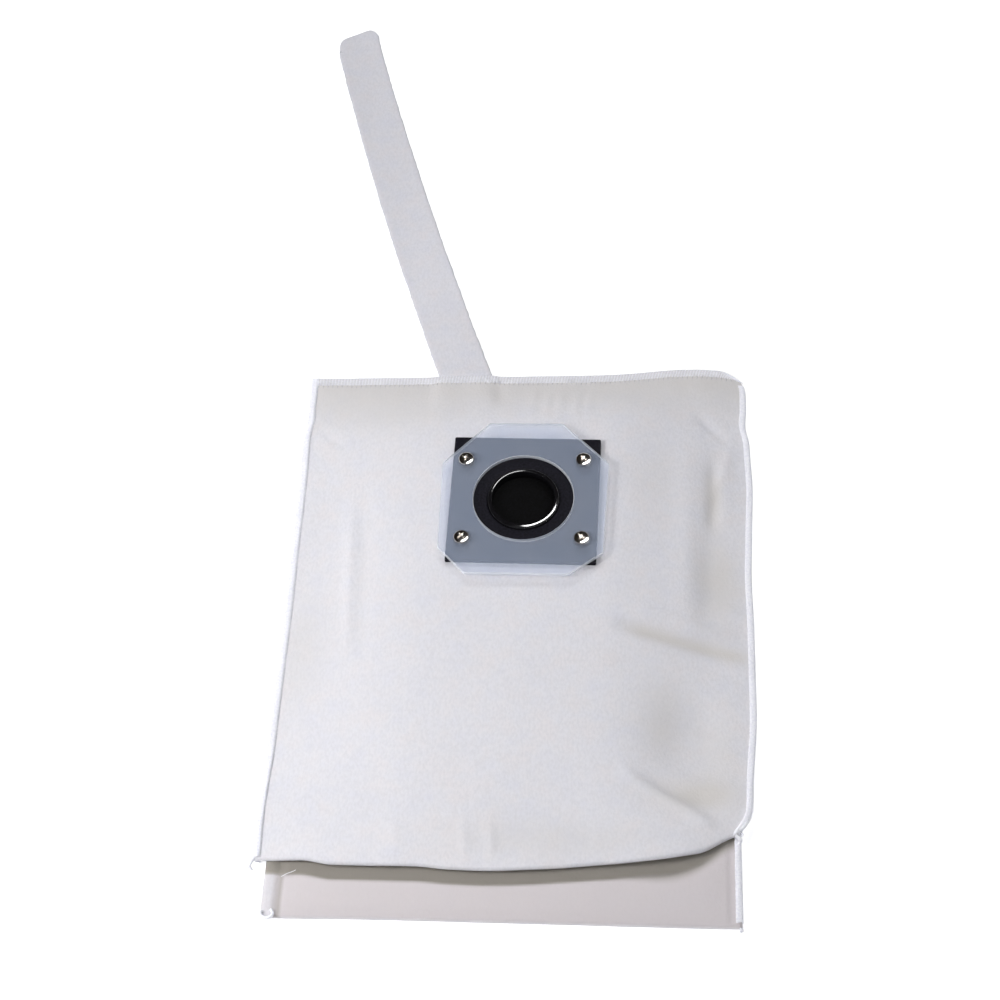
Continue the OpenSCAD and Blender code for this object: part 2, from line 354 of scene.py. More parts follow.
bag = {
    "felt": 0.0018,          # thickness of the cloth
    "seamLift": 0.0007,      # thread under the cloth's edge
    "plyGap": 0.0001,
    "band": 0.0055,          # width that the overlock covers
    "frontCell": 0.0020,     # size of a cell of the front cloth
    "backCell": 0.0026,
    "noseTop": 0.0113,       # height of the front fold above the floor
    "noseR": 0.0020,         # half the thickness of the doubled cloth at that fold
    "leafDrop": 0.018,       # distance in which the tucked cloth sinks from the fold to the strip
    "footX": 0.1375,         # right end of the front fold
    "cornerR": 0.018,        # rounding of the upper right corner
    "curl": 0.0020,          # how far that corner lifts
    "relief": 1.35,          # strength of all the soft folds
    "leaf": 0.031,           # cloth tucked in behind the front fold
    "tuckWidth": 0.0080,     # open part of the tuck in front of the fold
    "stripRise": 0.0009,     # how far the strip stands above the tucked cloth
    "stripLeft": -0.1445,
    "stripRight": 0.1370,
    "stripReach": 0.035,     # how far the back cloth runs on behind the front fold
}
felt = bag["felt"]
pinchTwo = floorZ + bag["seamLift"] + 2 * felt + bag["plyGap"]       # outer face where two plies are sewn
pinchFour = floorZ + bag["seamLift"] + 4 * felt + 3 * bag["plyGap"]
leafZ = floorZ + bag["seamLift"] + 2 * felt + 2 * bag["plyGap"]      # lower face of the tucked cloth


def topEdge(x):
    return topY + 0.0020 + 0.018 * x + 0.0034 * hump(x - 0.102, 0.034)


def foldEdge(x):
    # the front fold rises towards the lower right corner and draws back a little at its left end
    rise = np.clip((x + 0.004) / 0.141, 0, 1)
    right = 0.0210 * rise ** 1.7 + 0.0055 * ease((x - 0.112) / 0.022)
    left = 0.0012 * ease((-0.035 - x) / 0.02) + 0.0028 * ease((-0.104 - x) / 0.020)
    low = 0.0012 + 0.0007 * hump(x + 0.016, 0.020) + 0.0026 * hump(x - 0.098, 0.034)
    return foldY + right + left - low


def leftEdge(y):
    notch = 0.0008 * hump(y - 0.074, 0.006) - 0.0010 * hump(y - 0.055, 0.016)
    bow = 0.0005 * hump(y + 0.090, 0.050) - 0.0009 * hump(y + 0.228, 0.025)
    return -halfWidth - 0.0022 + bow + notch


def rightEdge(y):
    taper = 0.0006 * ease((0.02 - y) / 0.1) + 0.0035 * ease((-0.150 - y) / 0.060)
    upper = 0.0016 * ease((y - 0.062) / 0.012)
    notch = 0.0022 * hump(y - 0.064, 0.008) - 0.0012 * hump(y - 0.014, 0.022)
    notch = notch + 0.0008 * hump(y + 0.055, 0.020)
    corner = 0.0048 * np.clip((-0.205 - y) / 0.035, 0, 1) ** 2
    corner = corner + 0.0060 * np.clip((-0.217 - y) / 0.014, 0, 1) ** 2
    return halfWidth - 0.0010 - taper - upper - notch - corner


def liftAt(x, y):
    # the upper right corner stands off the floor
    return bag["curl"] * hump(x - 0.122, 0.026) * hump(y - 0.112, 0.022)


strapBulge = {"x": -0.0445, "reach": 0.026, "from": 0.070, "height": 0.0014}


def strapUnder(x, y):
    # the cloth rides up over the strap where it is sewn in
    across = ease((strapBulge["reach"] - np.abs(x - strapBulge["x"])) / 0.009)
    return strapBulge["height"] * across * ease((y - strapBulge["from"]) / 0.022)


def frontHeight(x, y, left, right, top):
    # height of the outer face of the front cloth above z = 0
    inX = np.minimum(x - left, right - x)
    inTop = top - y
    band = bag["band"]
    pinch = pinchTwo + (pinchFour - pinchTwo) * ease((-0.170 - y) / 0.045)
    clampHalf = (plateHigh.x - plateLow.x) / 2 + 0.003
    clampTop = plateHigh.y + 0.003
    clampFoot = plateLow.y - 0.004
    sideRoom = halfWidth - clampHalf - band
    fromSide = np.clip((inX - band) / sideRoom, 0, 1)
    fromTop = np.clip((inTop - band) / (topY - clampTop - band), 0, 1)
    sides = 0.45 * fromSide + 0.55 * ease(fromSide)
    upper = 0.45 * fromTop + 0.55 * ease(fromTop)
    down = np.clip((clampFoot - y) / (clampFoot - foldY), 0, 1)
    level = crownZ + (floorZ + bag["noseTop"] - crownZ) * (0.6 * down + 0.4 * ease(down))
    z = pinch + (level - pinch) * sides * upper
    free = ease(fromSide * 3.0) * ease(fromTop * 2.0)
    offPlate = np.maximum(np.abs(x) - clampHalf, np.maximum(y - clampTop, clampFoot - y))
    slack = ease(offPlate / 0.022) * free
    z = z + bag["relief"] * slack * folds(x, y)
    # small puckers where the seams gather the cloth
    z = z + 0.00026 * hump(inX - band, 0.010) * ease(inX / band) * waves(x * 0.2, y, 3, 0.014)
    z = z + 0.00030 * hump(inTop - 0.010, 0.014) * ease(inTop / band - 0.4) * waves(x, y * 0.2, 5, 0.016)
    return z + liftAt(x, y) + strapUnder(x, y)


# soft folds of the front cloth: start, end, height, half width; a height below 0 makes a hollow
foldLines = [
    ((-0.114, -0.010), (-0.109, -0.098), 0.00075, 0.0045),     # ridge on the left
    ((-0.104, 0.000), (-0.099, -0.100), -0.00035, 0.0060),
    ((0.141, 0.055), (0.127, 0.018), 0.0016, 0.0042),          # folds at the right notch
    ((0.122, 0.070), (0.140, 0.051), -0.0016, 0.0034),
    ((0.126, 0.028), (0.125, -0.004), -0.0022, 0.0045),        # hollow beside the right seam
    ((0.138, 0.044), (0.136, 0.008), 0.0012, 0.0045),
    ((0.108, 0.026), (0.108, -0.070), 0.0008, 0.0090),
    ((0.082, -0.082), (0.136, -0.097), 0.0010, 0.0055),        # slanting creases below it
    ((0.074, -0.093), (0.136, -0.109), -0.0015, 0.0055),
    ((0.073, -0.197), (0.116, -0.224), 0.0015, 0.0040),        # creases by the lower right corner
    ((0.092, -0.202), (0.132, -0.214), -0.0015, 0.0070),
    ((-0.146, 0.073), (-0.134, 0.066), 0.0010, 0.0032),        # folds at the left notch
    ((-0.146, 0.064), (-0.132, 0.055), -0.0009, 0.0030),
    ((-0.146, 0.056), (-0.130, 0.044), 0.0008, 0.0036),
]
# wider swellings and hollows: centre x and y, half width, half length, height
foldHumps = [
    (0.126, -0.056, 0.014, 0.030, -0.0018),
    (0.108, -0.172, 0.032, 0.040, -0.0030),     # hollow by the lower right corner
    (0.090, -0.232, 0.030, 0.010, 0.0011),
]
# x and height of the small gathers above the front fold, and x of the puckers under the top seam
foldGathers = [(-0.069, 0.0006), (-0.027, 0.0006), (-0.011, 0.0007), (0.052, 0.0004)]
topPuckers = [0.004, 0.014, 0.023, 0.034, 0.043]


def folds(x, y):
    z = 0.00045 * waves(x, y, 11, 0.085) + 0.00016 * waves(x, y, 12, 0.034)
    for start, end, height, spread in foldLines:
        z = z + crease(x, y, start, end, height, spread)
    for centreX, centreY, wide, tall, height in foldHumps:
        z = z + height * hump(x - centreX, wide) * hump(y - centreY, tall)
    for at, height in foldGathers:
        z = z + crease(x, y, (at, -0.236), (at + 0.002, -0.250), height, 0.0030)
    for at in topPuckers:
        z = z + crease(x, y, (at, 0.098), (at - 0.002, 0.074), 0.00045, 0.0024)
    return z


def roundedCorner(x, y):
    # squeezes the upper right corner's square into a quarter disc
    r = bag["cornerR"]
    cornerX, cornerY = rightEdge(0.095) - r, topEdge(0.14) - r
    a = np.clip((x - cornerX) / r, 0, None)
    b = np.clip((y - cornerY) / r, 0, None)
    inside = (a > 0) & (b > 0)
    a2 = a * np.sqrt(np.clip(1 - b * b / 2, 0.2, 1))
    b2 = b * np.sqrt(np.clip(1 - a * a / 2, 0.2, 1))
    return np.where(inside, cornerX + a2 * r, x), np.where(inside, cornerY + b2 * r, y)


def gridNormals(points):
    down, across = np.gradient(points, axis=0), np.gradient(points, axis=1)
    normal = np.cross(down, across)
    return normal / np.maximum(np.linalg.norm(normal, axis=2, keepdims=True), 1e-12)


def clothShell(name, outer, thickness, material, keep=None, attributes=(), rim=0.3):
    # a closed felt sheet below a grid of outer points, with rounded cut edges
    rows, columns = outer.shape[:2]
    normals = gridNormals(outer)
    inner = outer - normals * thickness
    keep = np.ones((rows - 1, columns - 1), bool) if keep is None else keep
    index = np.arange(rows * columns).reshape(rows, columns)
    count = rows * columns
    points = [*outer.reshape(-1, 3), *inner.reshape(-1, 3)]
    faces, middle = [], {}

    def halfway(i):
        if i not in middle:
            middle[i] = len(points)
            points.append((points[i] + points[i + count]) / 2)
        return middle[i]

    borders = []
    for i in range(rows - 1):
        for j in range(columns - 1):
            if not keep[i, j]:
                continue
            a, b, c, d = (int(index[i, j]), int(index[i + 1, j]),
                          int(index[i + 1, j + 1]), int(index[i, j + 1]))
            faces.append((a, b, c, d))
            faces.append((d + count, c + count, b + count, a + count))
            for near, (p, q) in (((i, j - 1), (a, b)), ((i + 1, j), (b, c)),
                                 ((i, j + 1), (c, d)), ((i - 1, j), (d, a))):
                inGrid = 0 <= near[0] < rows - 1 and 0 <= near[1] < columns - 1
                if not (inGrid and keep[near]):
                    borders.append((p, q))
    outward = {}
    for p, q in borders:
        edge = points[q] - points[p]
        away = np.cross(edge, normals.reshape(-1, 3)[p])
        away = away / max(np.linalg.norm(away), 1e-12)
        for end in (p, q):
            outward.setdefault(end, []).append(away)
    for end, sides in outward.items():
        m = halfway(end)
        away = sum(sides)
        points[m] = points[m] + away / max(np.linalg.norm(away), 1e-12) * rim * thickness
    for p, q in borders:
        mp, mq = middle[p], middle[q]
        faces.append((q, p, mp, mq))
        faces.append((mq, mp, p + count, q + count))
    used = sorted({v for face in faces for v in face})
    place = {old: new for new, old in enumerate(used)}
    obj = makeObject(name, [points[v] for v in used], [[place[v] for v in f] for f in faces], material)
    for title, values in attributes:
        flat = np.concatenate([values.reshape(-1), values.reshape(-1), np.zeros(len(points) - 2 * count)])
        layer = obj.data.attributes.new(title, "FLOAT", "POINT")
        layer.data.foreach_set("value", flat[used].astype(np.float32))
    return obj


def frontGrid():
    # outer points of the front cloth, from its top edge round the front fold and back under
    cell = bag["frontCell"]
    columns = round(2 * halfWidth / cell) + 1
    rows = round((topY - foldY) / cell) + 1
    u = np.linspace(0, 1, columns)[None, :]
    v = np.linspace(0, 1, rows)[:, None]
    guess = topY + (foldY - topY) * v
    rightFoot = foldEdge(np.array(bag["footX"]))
    left = leftEdge(guess)
    right = rightEdge(topY + (rightFoot - topY) * v)
    x = left + (right - left) * u
    radius = np.minimum(bag["noseR"], (frontNoseTop(x) - leafZ) / 2)
    top = topEdge(x)
    y = top + (foldEdge(x) + radius - top) * v
    z = frontHeight(x, y, left, right, top)
    noseTop = frontNoseTop(x)
    close = ease((v - 0.955) / 0.045)
    z = z + (noseTop - z) * close
    x, y = roundedCorner(x, y)
    sheet = [np.stack([x, y, z], 2)]
    lastX, lastY, lastR, lastTop = x[-1], foldEdge(x[-1]) + radius[-1], radius[-1], noseTop[-1]
    for step in range(1, 9):
        turn = math.pi * step / 8
        bulge = lastR * np.sin(turn)
        height = lastTop - lastR + lastR * np.cos(turn)
        sheet.append(np.stack([lastX, lastY - bulge, height], 1)[None])
    inX = np.minimum(lastX + halfWidth, bag["footX"] - lastX)
    leaf = bag["leaf"] * (0.5 + 0.5 * ease(inX / 0.070))
    for step in range(1, 15):
        back = leaf * step / 14
        height = leafZ + (lastTop - 2 * lastR - leafZ) * (1 - ease(back / bag["leafDrop"]))
        sheet.append(np.stack([lastX, lastY + back, height], 1)[None])
    return np.concatenate(sheet, 0), rows


def frontNoseTop(x):
    inX = np.minimum(x + halfWidth, bag["footX"] - x)
    full = floorZ + bag["noseTop"] - 0.0002 + 0.0018 * hump(x - 0.096, 0.026)
    soft = 0.00022 * np.sin(x * 95 + 1.0) + 0.00014 * np.sin(x * 171)
    return pinchFour + (full - pinchFour) * ease((inX - 0.003) / 0.036) + soft * ease(inX / 0.04)


# painted shade on the front cloth, brownish, mostly in its hollows and creases: centre x and y, half width,
# half length, strength
frontShadePatches = [
    (0.125, 0.010, 0.006, 0.026, 0.9),
    (0.127, -0.055, 0.014, 0.028, 0.8),
    (0.092, -0.158, 0.014, 0.026, 0.55),
    (0.112, -0.207, 0.024, 0.011, 1.0),
    (0.088, 0.025, 0.016, 0.018, 0.25),
    (-0.138, -0.110, 0.016, 0.040, 0.35),
    (0.020, -0.238, 0.060, 0.012, 0.35),
    (0.125, -0.180, 0.014, 0.030, 0.45),
    (-0.090, 0.070, 0.040, 0.016, 0.35),
]


def cornersOf(cells):
    # the grid points that touch any of the marked cells
    rows, columns = cells.shape
    points = np.zeros((rows + 1, columns + 1), bool)
    for i in (0, 1):
        for j in (0, 1):
            points[i:rows + i, j:columns + j] |= cells
    return points


def makeFrontCloth():
    outer, flatRows = frontGrid()
    rows = outer.shape[0]
    mouthR = lipHigh.x + 0.002     # the opening stands off the ring's foot
    centre = (outer[:-1, :-1] + outer[1:, 1:]) / 2
    far = np.hypot(centre[..., 0], centre[..., 1])
    keep = (far > mouthR) | (np.arange(rows - 1)[:, None] > flatRows)
    rimPoints = cornersOf(~keep) & cornersOf(keep)
    r = np.hypot(outer[..., 0], outer[..., 1])
    for axis in (0, 1):
        onRim = outer[..., axis] / np.maximum(r, 1e-9) * mouthR
        outer[..., axis] = np.where(rimPoints, onRim, outer[..., axis])
    v = np.arange(rows)[:, None] * bag["frontCell"] + 0 * outer[..., 0]
    # painted shade darkening the cloth just below the top seam
    shade = 0.75 * (1 - ease((v - 0.008) / 0.045))
    x, y = outer[..., 0], outer[..., 1]
    for centreX, centreY, wide, tall, amount in frontShadePatches:
        shade = shade + amount * hump(x - centreX, wide) * hump(y - centreY, tall)
    # painted shade along the slanting crease below the right hollow
    shade = shade + crease(x, y, (0.080, -0.096), (0.134, -0.109), 0.9, 0.0055)
    shade = np.minimum(shade, 1)
    obj = clothShell("clothFront", outer, felt, feltFront, keep, [("seamShade", shade)])
    return obj, outer, flatRows


strip = {
    "steps": 46,             # rows of cells from the rear fold to the end inside the tuck
    "swellSteps": 24,        # rows over which the strip swells
    "swell": 0.0005,
    "leftGroove": 0.0016,    # depth of the groove beside the left seam allowance
    "rightGroove": 0.0011,
    "allowance": 0.0082,     # width of the left seam allowance
}


def makeBackCloth():
    # outer points of the back cloth, from its top edge under the bag, round the rear fold and up the strip
    cell = bag["backCell"]
    columns = round(2 * halfWidth / cell) + 1
    rows = round((topY - rearY) / cell) + 1
    u = np.linspace(0, 1, columns)[None, :]
    v = np.linspace(0, 1, rows)[:, None]
    guess = topY + (rearY - topY) * v
    left = np.where(guess > -0.25, leftEdge(guess), leftEdge(np.array(-0.25)))
    left = left + (bag["stripLeft"] - left) * ease((-0.236 - guess) / 0.016)
    right = np.minimum(rightEdge(np.maximum(guess, -0.231)), halfWidth)
    right = right + (bag["stripRight"] - right) * ease((-0.226 - guess) / 0.008)
    x = left + (right - left) * u
    rear = rearY + 0.0004 - 0.008 * x * ease((x + 0.15) / 0.1) * 0.8
    radius = (leafZ - 0.0002 - floorZ) / 2
    top = topEdge(x)
    y = top + (rear + radius - top) * v
    inX = np.minimum(x - left, right - x)
    edge = 1 - ease(np.minimum(inX, top - y) / 0.016)
    z = floorZ + bag["seamLift"] * edge + liftAt(x, y)
    x, y = roundedCorner(x, y)
    sheet = [np.stack([x, y, z], 2)]
    lastX, lastY = x[-1], (rear + radius)[-1]
    stripTop = floorZ + 2 * radius
    for step in range(1, 7):
        turn = math.pi * step / 6
        height = z[-1] + (stripTop - z[-1]) * (1 - math.cos(turn)) / 2
        sheet.append(np.stack([lastX, lastY - radius * math.sin(turn), height], 1)[None])
    reach = foldEdge(lastX) + bag["stripReach"] - lastY
    deep = [np.zeros((rows + 6, columns))]
    fromLeft = lastX - bag["stripLeft"]
    fromRight = lastX - bag["stripRight"]
    for step in range(1, strip["steps"] + 1):
        y = lastY + reach * step / strip["steps"]
        tuck = foldEdge(lastX) - bag["tuckWidth"] - 0.0060 * hump(lastX - 0.098, 0.022)
        sunk = ease((y - tuck + 0.0012) / (0.0026 + 0.0070 * ease((lastX - 0.055) / 0.04)))
        deep.append(sunk[None])
        swell = math.sin(math.pi * min(1, step / strip["swellSteps"]))
        puff = strip["swell"] * swell * ease((0.135 - np.abs(lastX)) / 0.02)
        puff = puff + 0.00025 * waves(lastX, y, 21, 0.05) * swell
        puff = puff * (1 - sunk) + bag["stripRise"] * ease(step / 4) * (1 - sunk)
        groove = strip["leftGroove"] * hump(fromLeft - 0.0088, 0.0014)
        groove = groove - 0.0006 * ease((bag["stripLeft"] + strip["allowance"] - lastX) / 0.002)
        groove = groove + strip["rightGroove"] * hump(fromRight + 0.0048, 0.0011)
        sheet.append(np.stack([lastX, y, stripTop + puff - groove], 1)[None])
    outer = np.concatenate(sheet, 0)[:, ::-1]      # reversed so that the outer face looks down and out
    x = outer[..., 0]
    row = np.arange(outer.shape[0])[:, None] + 0 * x
    # painted shade on the strip that runs out below the front fold
    shade = 0.85 * ease((row - rows) / 5)
    # the painted shade is kept off the seam allowance
    shade = shade * (1 - 0.7 * ease((bag["stripLeft"] + 0.0080 - x) / 0.002))
    # painted shade in the tuck, from the same mask that sinks the cloth there
    sunk = np.concatenate(deep, 0)[:, ::-1]
    # painted shade in the groove beside the left seam allowance
    groove = 0.8 * hump(x - bag["stripLeft"] - 0.0090, 0.0013) * (shade > 0.3)
    shades = [("seamShade", shade), ("tuckShade", np.maximum(sunk, groove))]
    obj = clothShell("clothBack", outer, felt, feltBack, attributes=shades)
    return obj, outer[:, ::-1], rows


clothFront, frontOuter, frontRows = makeFrontCloth()
clothBack, backOuter, backRows = makeBackCloth()
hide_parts("front_cloth")
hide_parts("back_cloth")
print("cloth made", len(clothFront.data.polygons), len(clothBack.data.polygons))


# geometry node trees

def startTree(name, inputs):
    tree = bpy.data.node_groups.new(name, "GeometryNodeTree")
    tree.interface.new_socket("Geometry", in_out="INPUT", socket_type="NodeSocketGeometry")
    sockets = {}
    for title, kind, default in inputs:
        made = tree.interface.new_socket(title, in_out="INPUT", socket_type=kind)
        if default is not None:
            made.default_value = default
        sockets[title] = made.identifier
    tree.interface.new_socket("Geometry", in_out="OUTPUT", socket_type="NodeSocketGeometry")
    return tree, sockets, tree.nodes.new("NodeGroupInput"), tree.nodes.new("NodeGroupOutput")


def joinUp(tree, *pairs):
    for source, target in pairs:
        tree.links.new(source, target)


def threadLoopTree():
    # repeats one thread loop along the sewn edge, turned to the edge and as high as the plies there
    tree, sockets, start, end = startTree("threadLoops", [
        ("Loop", "NodeSocketObject", None), ("Spacing", "NodeSocketFloat", 0.001),
        ("Unevenness", "NodeSocketFloat", 0.1), ("Thread", "NodeSocketMaterial", None)])
    nodes = tree.nodes
    curve = nodes.new("GeometryNodeMeshToCurve")
    even = nodes.new("GeometryNodeResampleCurve")
    even.mode = "LENGTH"
    inward = nodes.new("GeometryNodeInputNamedAttribute")
    inward.data_type = "FLOAT_VECTOR"
    inward.inputs["Name"].default_value = "inward"
    stack = nodes.new("GeometryNodeInputNamedAttribute")
    stack.data_type = "FLOAT"
    stack.inputs["Name"].default_value = "stack"
    turn = nodes.new("FunctionNodeAxesToRotation")
    turn.primary_axis, turn.secondary_axis = "Z", "X"
    turn.inputs["Primary Axis"].default_value = (0, 0, 1)
    low = nodes.new("ShaderNodeMath")
    low.operation = "SUBTRACT"
    low.inputs[0].default_value = 1
    high = nodes.new("ShaderNodeMath")
    high.operation = "ADD"
    high.inputs[0].default_value = 1
    chance = nodes.new("FunctionNodeRandomValue")
    chance.inputs["Seed"].default_value = 4
    size = nodes.new("ShaderNodeCombineXYZ")
    size.inputs["Y"].default_value = 1
    place = nodes.new("GeometryNodeInstanceOnPoints")
    piece = nodes.new("GeometryNodeObjectInfo")
    solid = nodes.new("GeometryNodeRealizeInstances")
    paint = nodes.new("GeometryNodeSetMaterial")
    joinUp(tree,
           (start.outputs["Geometry"], curve.inputs["Mesh"]),
           (curve.outputs["Curve"], even.inputs["Curve"]),
           (start.outputs["Spacing"], even.inputs["Length"]),
           (even.outputs["Curve"], place.inputs["Points"]),
           (start.outputs["Loop"], piece.inputs["Object"]),
           (piece.outputs["Geometry"], place.inputs["Instance"]),
           (inward.outputs["Attribute"], turn.inputs["Secondary Axis"]),
           (turn.outputs["Rotation"], place.inputs["Rotation"]),
           (start.outputs["Unevenness"], low.inputs[1]),
           (start.outputs["Unevenness"], high.inputs[1]),
           (low.outputs[0], chance.inputs[2]),
           (high.outputs[0], chance.inputs[3]),
           (chance.outputs[1], size.inputs["X"]),
           (stack.outputs["Attribute"], size.inputs["Z"]),
           (size.outputs["Vector"], place.inputs["Scale"]),
           (place.outputs["Instances"], solid.inputs["Geometry"]),
           (solid.outputs["Geometry"], paint.inputs["Geometry"]),
           (start.outputs["Thread"], paint.inputs["Material"]),
           (paint.outputs["Geometry"], end.inputs["Geometry"]))
    return tree, sockets


def scatterTree():
    # sets one copy of a fastener on each point, each turned by its own amount
    tree, sockets, start, end = startTree("fasteners", [
        ("Fastener", "NodeSocketObject", None), ("Seed", "NodeSocketInt", 3),
        ("Metal", "NodeSocketMaterial", None)])
    nodes = tree.nodes
    points = nodes.new("GeometryNodeMeshToPoints")
    chance = nodes.new("FunctionNodeRandomValue")
    chance.data_type = "FLOAT_VECTOR"
    chance.inputs[0].default_value = (0, 0, 0)
    chance.inputs[1].default_value = (0, 0, math.tau)
    place = nodes.new("GeometryNodeInstanceOnPoints")
    piece = nodes.new("GeometryNodeObjectInfo")
    solid = nodes.new("GeometryNodeRealizeInstances")
    paint = nodes.new("GeometryNodeSetMaterial")
    joinUp(tree,
           (start.outputs["Geometry"], points.inputs["Mesh"]),
           (points.outputs["Points"], place.inputs["Points"]),
           (start.outputs["Fastener"], piece.inputs["Object"]),
           (piece.outputs["Geometry"], place.inputs["Instance"]),
           (start.outputs["Seed"], chance.inputs["Seed"]),
           (chance.outputs[0], place.inputs["Rotation"]),
           (place.outputs["Instances"], solid.inputs["Geometry"]),
           (solid.outputs["Geometry"], paint.inputs["Geometry"]),
           (start.outputs["Metal"], paint.inputs["Material"]),
           (paint.outputs["Geometry"], end.inputs["Geometry"]))
    return tree, sockets


def grow(name, base, treeAndSockets, values):
    # runs a tree on a base object and keeps the result as a plain mesh
    tree, sockets = treeAndSockets
    modifier = base.modifiers.new("nodes", "NODES")
    modifier.node_group = tree
    for title, value in values.items():
        modifier[sockets[title]] = value
    made = finishedMesh(base, name)
    made.data.shade_smooth()
    return made


def pathObject(name, paths):
    # poly lines with the inward direction and the height of the plies on each point
    points, edges, inwards, stacks = [], [], [], []
    for line, inward, stack in paths:
        first = len(points)
        points += [tuple(p) for p in line]
        edges += [(first + i, first + i + 1) for i in range(len(line) - 1)]
        inwards += [tuple(v) for v in inward]
        stacks += list(stack)
    mesh = bpy.data.meshes.new(name)
    mesh.from_pydata(points, edges, [])
    layer = mesh.attributes.new("inward", "FLOAT_VECTOR", "POINT")
    layer.data.foreach_set("vector", np.array(inwards, np.float32).reshape(-1))
    layer = mesh.attributes.new("stack", "FLOAT", "POINT")
    layer.data.foreach_set("value", np.array(stacks, np.float32))
    return link(bpy.data.objects.new(name, mesh))


def tubeFaces(count, sides, closed=False):
    # faces between neighbouring rings of points, with the two ends filled if it is open
    faces = []
    for i in range(count if closed else count - 1):
        j = (i + 1) % count
        for k in range(sides):
            m = (k + 1) % sides
            faces.append((i * sides + k, i * sides + m, j * sides + m, j * sides + k))
    if not closed:
        faces.append(tuple(range(sides))[::-1])
        faces.append(tuple((count - 1) * sides + k for k in range(sides)))
    return faces


def tube(points, radius, sides, name, material, closed=False):
    # a thread swept along points, with closed ends
    points = [Vector(p) for p in points]
    count = len(points)
    rings = []
    up = Vector((0.13, 0.27, 0.95)).normalized()
    for i, p in enumerate(points):
        before = points[i - 1 if i or closed else 0]
        after = points[(i + 1) % count if i + 1 < count or closed else i]
        tangent = (after - before).normalized()
        side = tangent.cross(up)
        if side.length < 0.2:
            side = tangent.cross(Vector((1, 0, 0)))
        side.normalize()
        other = side.cross(tangent)
        for k in range(sides):
            a = math.tau * k / sides
            rings.append(p + side * math.cos(a) * radius + other * math.sin(a) * radius)
    return recalculated(makeObject(name, rings, tubeFaces(count, sides, closed), material))


def smoothPath(points, steps=6):
    # a Catmull-Rom curve through given points
    points = [Vector(p) for p in points]
    ends = [points[0] * 2 - points[1], *points, points[-1] * 2 - points[-2]]
    out = []
    for i in range(1, len(ends) - 2):
        a, b, c, d = ends[i - 1:i + 3]
        for s in range(steps):
            t = s / steps
            out.append(0.5 * ((2 * b) + (c - a) * t + (2 * a - 5 * b + 4 * c - d) * t * t
                              + (3 * b - a - 3 * c + d) * t ** 3))
    return [*out, points[-1]]


# overlock seams

seam = {
    "threadR": 0.00038,
    "leftBand": 0.0046,      # width of the thread on the cloth
    "rightBand": 0.0034,
    "topBand": 0.0060,
    "sideSpacing": 0.00072,
    "topSpacing": 0.00105,
    "outside": 0.0008,       # thread outside the cut edge
    "under": 0.0006,         # height of the lower thread above the floor
    "stack": 0.004,          # height of the plies for which the loop's thread is drawn round
    "unevenness": 0.025,
}
loopTree = threadLoopTree()


def threadLoop(name, band, radius, lean):
    # one loop round an edge of unit height: inward is +X, up is +Z
    reach = seam["outside"]
    stack = seam["stack"]
    line = [(band, lean, 1.0), (band * 0.55, lean * 0.55, 1.05), (0.0002, 0, 1.03),
            (-reach * 0.75, 0, 0.84), (-reach, 0, 0.5), (-reach * 0.75, 0, 0.16),
            (0.0002, 0, 0.0), (band * 0.8, -lean * 0.5, 0.0)]
    sides, unit = 5, []
    flat = Vector((0, 1, 0))
    for i, p in enumerate(line):
        a, b = Vector(line[max(i - 1, 0)]), Vector(line[min(i + 1, len(line) - 1)])
        a.z, b.z = a.z * stack, b.z * stack
        along = (b - a).normalized()
        other = along.cross(flat).normalized()
        for k in range(sides):
            turn = math.tau * k / sides
            shift = flat * math.cos(turn) * radius + other * math.sin(turn) * radius
            unit.append((p[0] + shift.x, p[1] + shift.y, p[2] + shift.z / stack))
    return recalculated(makeObject(name, unit, tubeFaces(len(line), sides), threadWhite))


def edgePath(border, inner, lowZ):
    # a seam path along a row of border points; the stack runs from the lower thread to the cloth's face
    line = border.copy()
    stack = border[:, 2] - lowZ
    inward = inner - border
    inward[:, 2] = 0
    inward /= np.maximum(np.linalg.norm(inward, axis=1, keepdims=True), 1e-9)
    line[:, 2] = lowZ
    return line, inward, stack


def lowThread(border):
    # height of the thread that runs under the cloth's edge
    return floorZ + seam["under"] + liftAt(border[:, 0], border[:, 1])


def sideLines(column, innerColumn):
    border, inner = frontOuter[:frontRows, column], frontOuter[:frontRows, innerColumn]
    return edgePath(border, inner, lowThread(border))


def stripLines(column, innerColumn):
    # the strip's own sewn end, from under the front fold down to the rear fold
    first = backRows + 6
    border = backOuter[first:first + 34, column][::-1]
    inner = backOuter[first:first + 34, innerColumn][::-1]
    return edgePath(border, inner, np.full(len(border), floorZ + seam["under"]))


def makeOverlock(name, paths, band, spacing, lean, node):
    loop = threadLoop("loopShape", band, seam["threadR"], lean)
    base = pathObject("seamPath", paths)
    made = grow(name, base, loopTree, {"Loop": loop, "Spacing": spacing, "Unevenness": seam["unevenness"],
                                       "Thread": threadWhite})
    bpy.data.objects.remove(loop)
    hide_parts(node)
    return made


leftPaths = [sideLines(0, 3)]
cornerSkip = 5      # the top seam turns the upper right corner
rightPaths = [tuple(part[cornerSkip:] for part in sideLines(-1, -4)), stripLines(-1, -4)]
topPaths = [edgePath(frontOuter[0, :], frontOuter[3, :], lowThread(frontOuter[0, :]))]
overlockLeft = makeOverlock("overlockLeft", leftPaths, seam["leftBand"], seam["sideSpacing"],
                            0.0006, "seam_left")
overlockRight = makeOverlock("overlockRight", rightPaths, seam["rightBand"], seam["sideSpacing"],
                             0.0006, "seam_right")
overlockTop = makeOverlock("overlockTop", topPaths, seam["topBand"], seam["topSpacing"],
                           0.0008, "seam_top")
print("overlock made", len(overlockLeft.data.polygons), len(overlockTop.data.polygons))


# needle stitches

